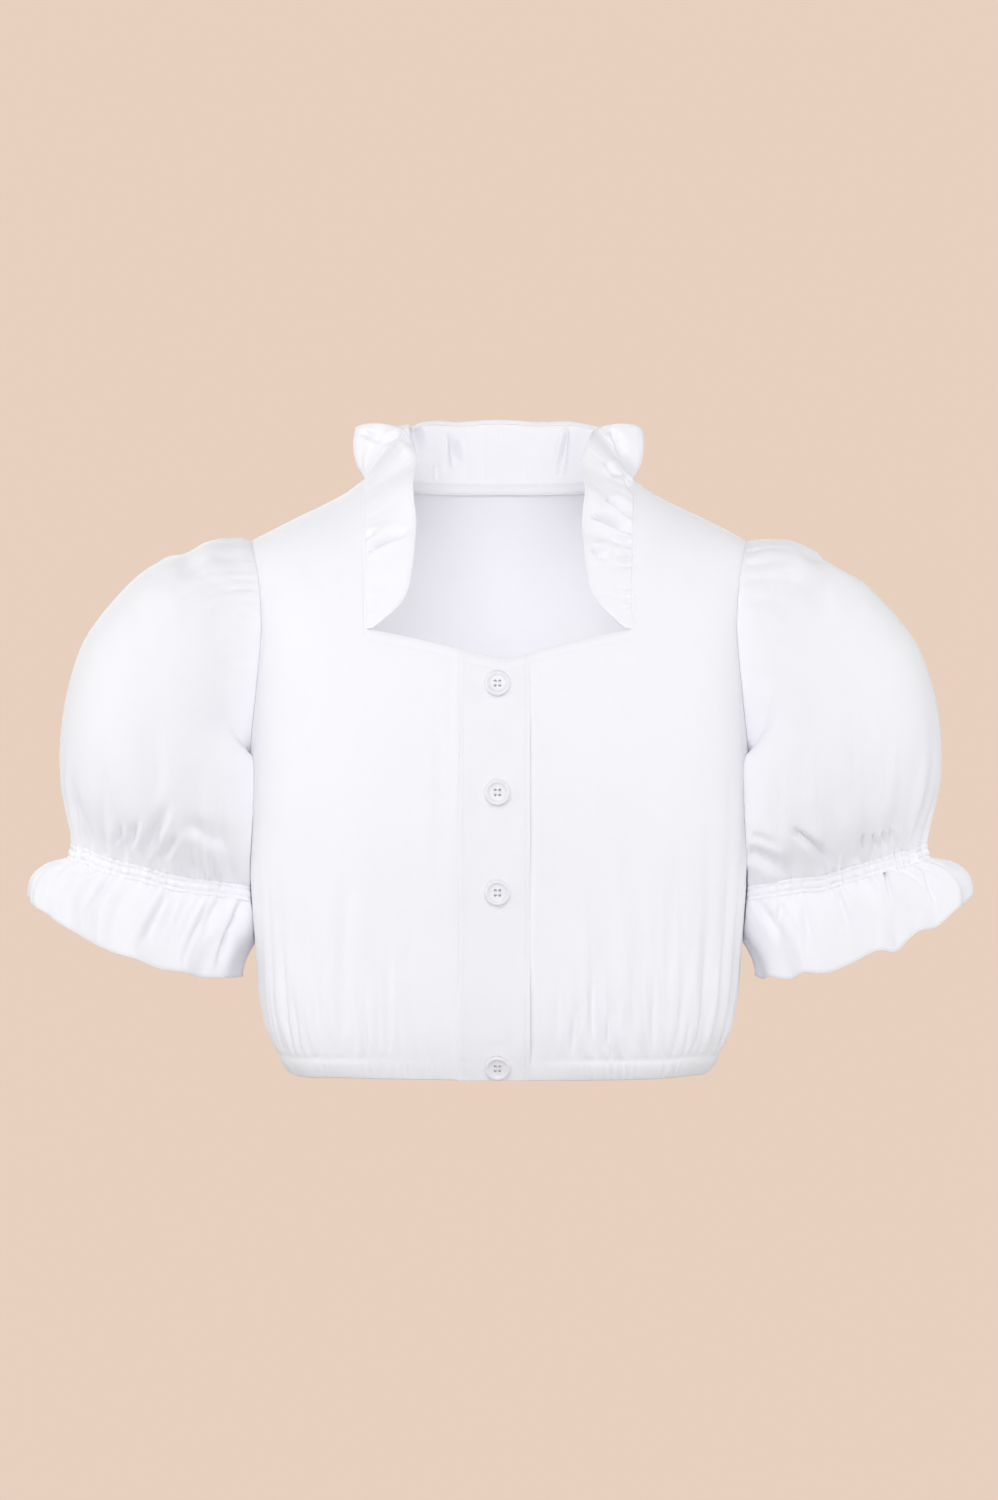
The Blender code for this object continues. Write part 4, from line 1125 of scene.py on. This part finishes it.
def puff_form(seam, angles, side):
    """The smooth form of a puff, from the armhole seam to the elastic."""
    share = shares(PUFF_ROWS)
    at = (len(PUFF) - 1) * (share - PUFF_EASE * np.sin(2 * math.pi * share))
    rings = oval_rings(PUFF, at, angles, side)
    rings += smooth(1 - at / PUFF_BLEND)[:, None, None] * (seam - rings[0])
    rings[0] += HEAD_SEAM * SEAM * unit(rings[1] - rings[0])
    return rings


def beside_body(rings, angles, side, share):
    """Rings with their inner side drawn close to the body, by a share of the way for each ring."""
    x, y, z = np.abs(rings[..., 0]), rings[..., 1], rings[..., 2]
    depth = np.where(y < 0, read(TORSO, "front", z), read(TORSO, "back", z))
    rest = 1 - np.clip(np.abs(y) / depth, 0, 1) ** RING_POWER
    clear = BODY_NEAR + (BODY_CLEAR - BODY_NEAR) * smooth((UNDERARM - z) / CLEAR_OVER)
    near = read(TORSO, "half_width", z) * rest ** (1 / RING_POWER) + clear
    ahead = smooth((np.abs(y) - AHEAD_FROM) / AHEAD_OVER)
    start = smooth((UNDERARM + PULL_RISE * ahead - z) / (PULL_START + PULL_SPREAD * ahead))
    inner = smooth((-np.cos(angles) - PULL_FROM) / PULL_OVER)
    pull = BODY_PULL * inner * share[:, None] * start
    moved = rings.copy()
    moved[..., 0] = side * np.maximum(np.minimum(near, x), x - pull)
    return moved


def tube(name, points, normals, side, last_row=True):
    """A closed sleeve piece with its turned-in edges."""
    sewn, _ = rolled(points, normals, first_row=True, last_row=last_row)
    return cloth(name, sewn[:, ::side], closed=True)


def under_seam(angles, rings):
    """The lengthwise seam of a tube, on its underside."""
    apart = np.abs(angles - math.pi) / (2 * math.pi) * lengths(rings[0])[-1]
    return UNDER_SEAM_DEPTH * bell(apart / UNDER_SEAM_WIDTH)


def sleeve_forms(side, seam, angles, seed):
    """The smooth forms of a sleeve's puff, elastic band and frill, and the lengths round its cuff."""
    fade = 1 - smooth(shares(FRILL_ROWS))
    puff = puff_form(seam, angles, side)
    puff = beside_body(puff, angles, side, smooth(PULL_PARTS * shares(PUFF_ROWS)))
    band = oval_rings(BAND, shares(BAND_ROWS), angles, side)
    band = beside_body(band, angles, side, np.ones(BAND_ROWS + 1))
    frill = oval_rings(FRILL, FLARE_AT, angles, side)
    frill[..., 2] -= read(FRILL, "dip", FLARE_AT, key=None)[:, None] * np.sin(angles) ** 2
    frill = beside_body(frill, angles, side, fade)
    cuff = lengths(band[0])
    sag = CUFF_SAG * wander(cuff, CUFF_SAG_LENGTH, seed + 33, cuff[-1])
    puff[..., 2] += sag * shares(PUFF_ROWS)[:, None] ** SAG_POWER
    band[..., 2] += sag
    frill[..., 2] += sag * fade[:, None]
    return puff, band, frill, cuff


def puff_piece(arm, puff, band):
    """The puff, gathered at its head and at the elastic."""
    out, head, down = outward(puff, arm.side), lengths(puff[0]), lengths(puff)
    up, outer = down[-1] - down, np.cos(arm.angles)
    height = gathers(arm.cuff, up + AT_SEAM, CUFF_GATHERS, arm.seed, around=arm.cuff[-1])
    at_head = gathers(head, down + AT_HEAD, HEAD_GATHERS, arm.seed + 9, around=head[-1])
    height += at_head * smooth((outer + HEAD_FROM) / HEAD_OVER)
    soft, crumple = (
        unevenness(np.broadcast_to(head, down.shape), down, hills, arm.seed + own, around=head[-1])
        for hills, own in ((PUFF_HILLS, 19), (HEAD_HILLS, 37))
    )
    height += soft * smooth(down / SOFT_RISE) * smooth(up / SOFT_RISE)
    below_head = smooth(down / CRUMPLE_RISE) * smooth((HEAD_HILLS_END - down) / HILLS_FADE)
    height += crumple * smooth((outer - CRUMPLE_FROM) / CRUMPLE_OVER) * below_head
    height *= arm.inner
    height -= creased(puff, out, PUFF_CREASES[arm.side]) + under_seam(arm.angles, band)
    height *= smooth(HEAD_LEAST + down / HEAD_RISE)
    puff = puff + out * height[..., None]
    return tube(f"puff_{arm.label}", puff, outward(puff, arm.side), arm.side)


def elastic_piece(arm, band):
    """The shirred elastic band, its rows of stitches and its gathered surface."""
    out = outward(band, arm.side)
    share = shares(BAND_ROWS)[:, None]
    wide = lengths(band)[-1].mean()
    pulled = sum(bell((share - at) * wide / SHIRR_WIDTH) for at in SHIRRING)
    away = np.full_like(band[..., 0], AT_SEAM + FROM_SEAM)
    height = gathers(arm.cuff, away, CUFF_GATHERS, arm.seed, around=arm.cuff[-1])
    height = height * (SHIRR_FULL - 0.6 * pulled)
    uneven = 0.6 + 0.4 * wander(arm.cuff, SHIRR_LENGTH, arm.seed + 5, arm.cuff[-1])
    height += BETWEEN_SHIRRING * (1 - pulled) - SHIRR_DEPTH * pulled * uneven
    height = height * arm.inner - under_seam(arm.angles, band)
    band = band + out * height[..., None]
    band_out = outward(band, arm.side)
    gathered = tube(f"elastic_band_{arm.label}", band, band_out, arm.side)
    rows = [between(band, band_out, at * BAND_ROWS) for at in SHIRRING]
    return gathered, stitching(f"shirring_{arm.label}", rows), band


def frill_piece(arm, frill, band):
    """The frill with its flutes and its narrow hem, and the hem's stitches."""
    out, down = outward(frill, arm.side), lengths(frill)
    swaying = arm.angles + FLUTE_SWAY * wander(arm.cuff, FLUTE_SWAY_LENGTH, arm.seed + 23, arm.cuff[-1])
    uneven = FLUTE_MEAN + FLUTE_SPREAD * wander(arm.cuff, FLUTE_LENGTH, arm.seed + 27, arm.cuff[-1])
    flute = np.cos(FLUTES * swaying) * uneven
    wave = read(FRILL, "wave", FLARE_AT, key=None)[:, None]
    height = gathers(arm.cuff, down + AT_SEAM, FRILL_GATHERS, arm.seed, around=arm.cuff[-1])
    height = (height + wave * flute) * arm.inner
    height -= creased(frill, out, FRILL_CREASES[arm.side]) + under_seam(arm.angles, band)
    height -= hem_groove(down[-1] - down)
    frill = frill + out * height[..., None]
    frill[..., 2] += FLUTE_SCALLOP[arm.side] * wave * flute * arm.inner
    frill_out = outward(frill, arm.side)
    lower = tube(f"frill_{arm.label}", *hemmed(frill, frill_out), arm.side, last_row=False)
    place = np.interp(HEM_SEWN, (down[-1] - down).mean(axis=1)[::-1], np.arange(FRILL_ROWS + 1)[::-1])
    return lower, stitching(f"stitching_frill_{arm.label}", [between(frill, frill_out, place)])


def sleeve(side, label):
    """All pieces of one sleeve, from its head down."""
    seam, angles = arm_seam(side)
    seed = 200 + 40 * side
    puff, band, frill, cuff = sleeve_forms(side, seam, angles, seed)
    inner = 1 - INNER_CALM * smooth((-np.cos(angles) - CALM_FROM) / CALM_OVER)
    arm = Arm(side, label, seed, angles, cuff, inner)
    top = puff_piece(arm, puff, band)
    gathered, shirring, band = elastic_piece(arm, band)
    return top, gathered, shirring, *frill_piece(arm, frill, band)


for side, label in ((-1, "right"), (1, "left")):
    top, gathered, shirring, lower, sewing = sleeve(side, label)
    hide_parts(f"sleeve_{label}")
    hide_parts(f"sleeve_elastic_{label}")
    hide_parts(f"sleeve_frill_{label}")

# ---- Buttons ---------------------------------------------------------------------------
# Four pressed pearl buttons with a raised rim, a dish and four holes. They are sewn to the
# lower band with white thread and come through upright buttonholes in the upper one.

BUTTON_HEIGHTS = (-141.0, -212.0, -277.5, -392.5)
BUTTON_X, BUTTON_RADIUS, BUTTON_STEPS = -1.0, 8.6, 64
Turn = namedtuple("Turn", "radius height")
BUTTON_PROFILE = rows_of(
    Turn,
    (0, 0), (6.6, 0), (7.7, 0.3), (8.35, 0.95), (8.6, 1.6), (8.5, 2.2), (8.1, 2.75),
    (7.4, 3), (6.7, 2.95), (6.15, 2.6), (5.7, 2.15), (5.1, 1.98), (3, 1.9), (0, 1.9),
)
HOLE_RADIUS, HOLE_SPREAD, HOLE_SIDES, DISH = 0.95, 2.1, 18, 1.9
DRILL_LENGTH, SHARP_ANGLE = 12.0, 50.0
SHANK, STRANDS = 0.3, (-0.34, 0.0, 0.36)
STRAND_WIDTH, STRAND_RISE, PAST_HOLE = 0.2, 0.34, 0.3  # half a strand's sizes, and its way past the holes
SLIT, SATIN_STEP = 14.0, 0.45  # a buttonhole's length, and one satin stitch to the next
SATIN_ASIDE, SATIN_HALF = 1.25, 0.8  # from the slit to a stitch's middle, and half its length


def pearl(name):
    """Smooth white pearl with faint clouds."""
    made, tree, shader = blank_material(name)
    place = node(tree, "ShaderNodeTexCoord")
    cloudy = {"Vector": place.outputs["Object"], "Scale": 210.0, "Detail": 2.0, "Distortion": 1.5}
    clouds = node(tree, "ShaderNodeTexNoise", cloudy).outputs["Fac"]
    tones = {"Factor": clouds, "A": (0.75, 0.74, 0.79, 1.0), "B": (0.87, 0.86, 0.885, 1.0)}
    tone = node(tree, "ShaderNodeMix", tones, data_type="RGBA")
    shine = {"Roughness": 0.36, "Coat Weight": 0.2, "Coat Roughness": 0.12}
    fill(tree, shader, {"Base Color": tone.outputs["Result"], **shine})
    return made


def drilled_button(name):
    """A turned button that lies on its back, with its four holes drilled."""
    angle = np.linspace(0, 2 * math.pi, BUTTON_STEPS + 1)
    ring = np.stack([np.cos(angle), np.sin(angle), np.zeros_like(angle)], axis=-1)
    rows = [turn.radius * ring + [0.0, 0.0, turn.height] for turn in BUTTON_PROFILE]
    blank = bpy.data.objects.new(name, gridded(name, np.stack(rows), closed=True))
    drills = bmesh.new()
    for corner in range(4):
        turn = (corner + 0.5) * math.pi / 2
        sizes = {"segments": HOLE_SIDES, "radius1": HOLE_RADIUS * MM, "radius2": HOLE_RADIUS * MM}
        drill = bmesh.ops.create_cone(drills, cap_ends=True, depth=DRILL_LENGTH * MM, **sizes)
        place = (HOLE_SPREAD * math.cos(turn) * MM, HOLE_SPREAD * math.sin(turn) * MM, 0.0)
        bmesh.ops.translate(drills, verts=drill["verts"], vec=place)
    cutter = bpy.data.objects.new("button_drills", meshed("button_drills", drills, smoothed=False))
    for thing in (blank, cutter):
        bpy.context.scene.collection.objects.link(thing)
    holes = blank.modifiers.new("holes", "BOOLEAN")
    holes.object = cutter
    holes.operation = "DIFFERENCE"
    made = bpy.data.meshes.new_from_object(blank.evaluated_get(bpy.context.evaluated_depsgraph_get()))
    for thing in (blank, cutter):
        bpy.data.objects.remove(thing)
    made.materials.clear()
    return made


def button_place(height):
    """Where a button lies on the upper band: its middle, its turn and the band's way out there."""
    z = np.array([height - BUTTON_RADIUS, height, height + BUTTON_RADIUS])
    below, middle, above = torso_y(np.full(3, BUTTON_X), z, "front")
    tilt = math.atan2(above - below, z[2] - z[0])
    way_out = np.array([0.0, -math.cos(tilt), math.sin(tilt)])
    apart = placket_surface - [BUTTON_X, middle, height]
    covered = np.hypot(apart[..., 0], apart[..., 2]) < BUTTON_RADIUS
    out = np.max(apart[covered] @ way_out) + BAND_CLOTH / 2 + SHANK
    place = np.array([BUTTON_X, middle, height]) + out * way_out
    turn = Matrix.Translation([value * MM for value in place])
    return turn @ Matrix.Rotation(math.pi / 2 - tilt, 4, "X")


def sewn_on(name, turn):
    """Strands of thread over each pair of a button's holes."""
    across = HOLE_SPREAD * math.sin(math.pi / 4)
    made = bmesh.new()
    for pair in (-across, across):
        for strand in STRANDS:
            shape = Matrix.Diagonal([STRAND_WIDTH * MM, (across + PAST_HOLE) * MM, STRAND_RISE * MM, 1.0])
            place = Matrix.Translation(((pair + strand) * MM, 0.0, (DISH + 0.02) * MM))
            lies = turn @ place @ shape
            bmesh.ops.create_uvsphere(made, u_segments=10, v_segments=8, radius=1, matrix=lies)
    return shown(name, meshed(name, made), SEWING_THREAD)


def on_band(x, z):
    """A place on the upper band and its normal."""
    column = nearest(placket_surface[0, :, 0], x)
    line, normals = between(placket_surface, placket_out, row_at(placket_surface, column, z))
    return line[column] + [x - line[column, 0], 0.0, 0.0], normals[column]


def buttonhole(height):
    """Short lines across both sides of an upright slit, one for each satin stitch."""
    lines = []
    for z in np.arange(height - SLIT / 2, height + SLIT / 2, SATIN_STEP):
        for aside in (-SATIN_ASIDE, SATIN_ASIDE):
            ends = [on_band(BUTTON_X + aside + half, z) for half in (-SATIN_HALF, SATIN_HALF)]
            lines.append(tuple(np.array(part) for part in zip(*ends)))
    return lines


PEARL = pearl("white_pearl")
template = drilled_button("button")
for number, height in enumerate(BUTTON_HEIGHTS, start=1):
    turn = button_place(height)
    mesh = template.copy()
    mesh.transform(turn)
    mesh.set_sharp_from_angle(angle=math.radians(SHARP_ANGLE))
    button = shown(f"pearl_button_{number}", mesh, PEARL)
    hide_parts(f"button_{number}")
    sewn_on(f"thread_button_{number}", turn)
lines = [line for height in BUTTON_HEIGHTS for line in buttonhole(height)]
stitching("stitching_buttonholes", lines, BAND_CLOTH)
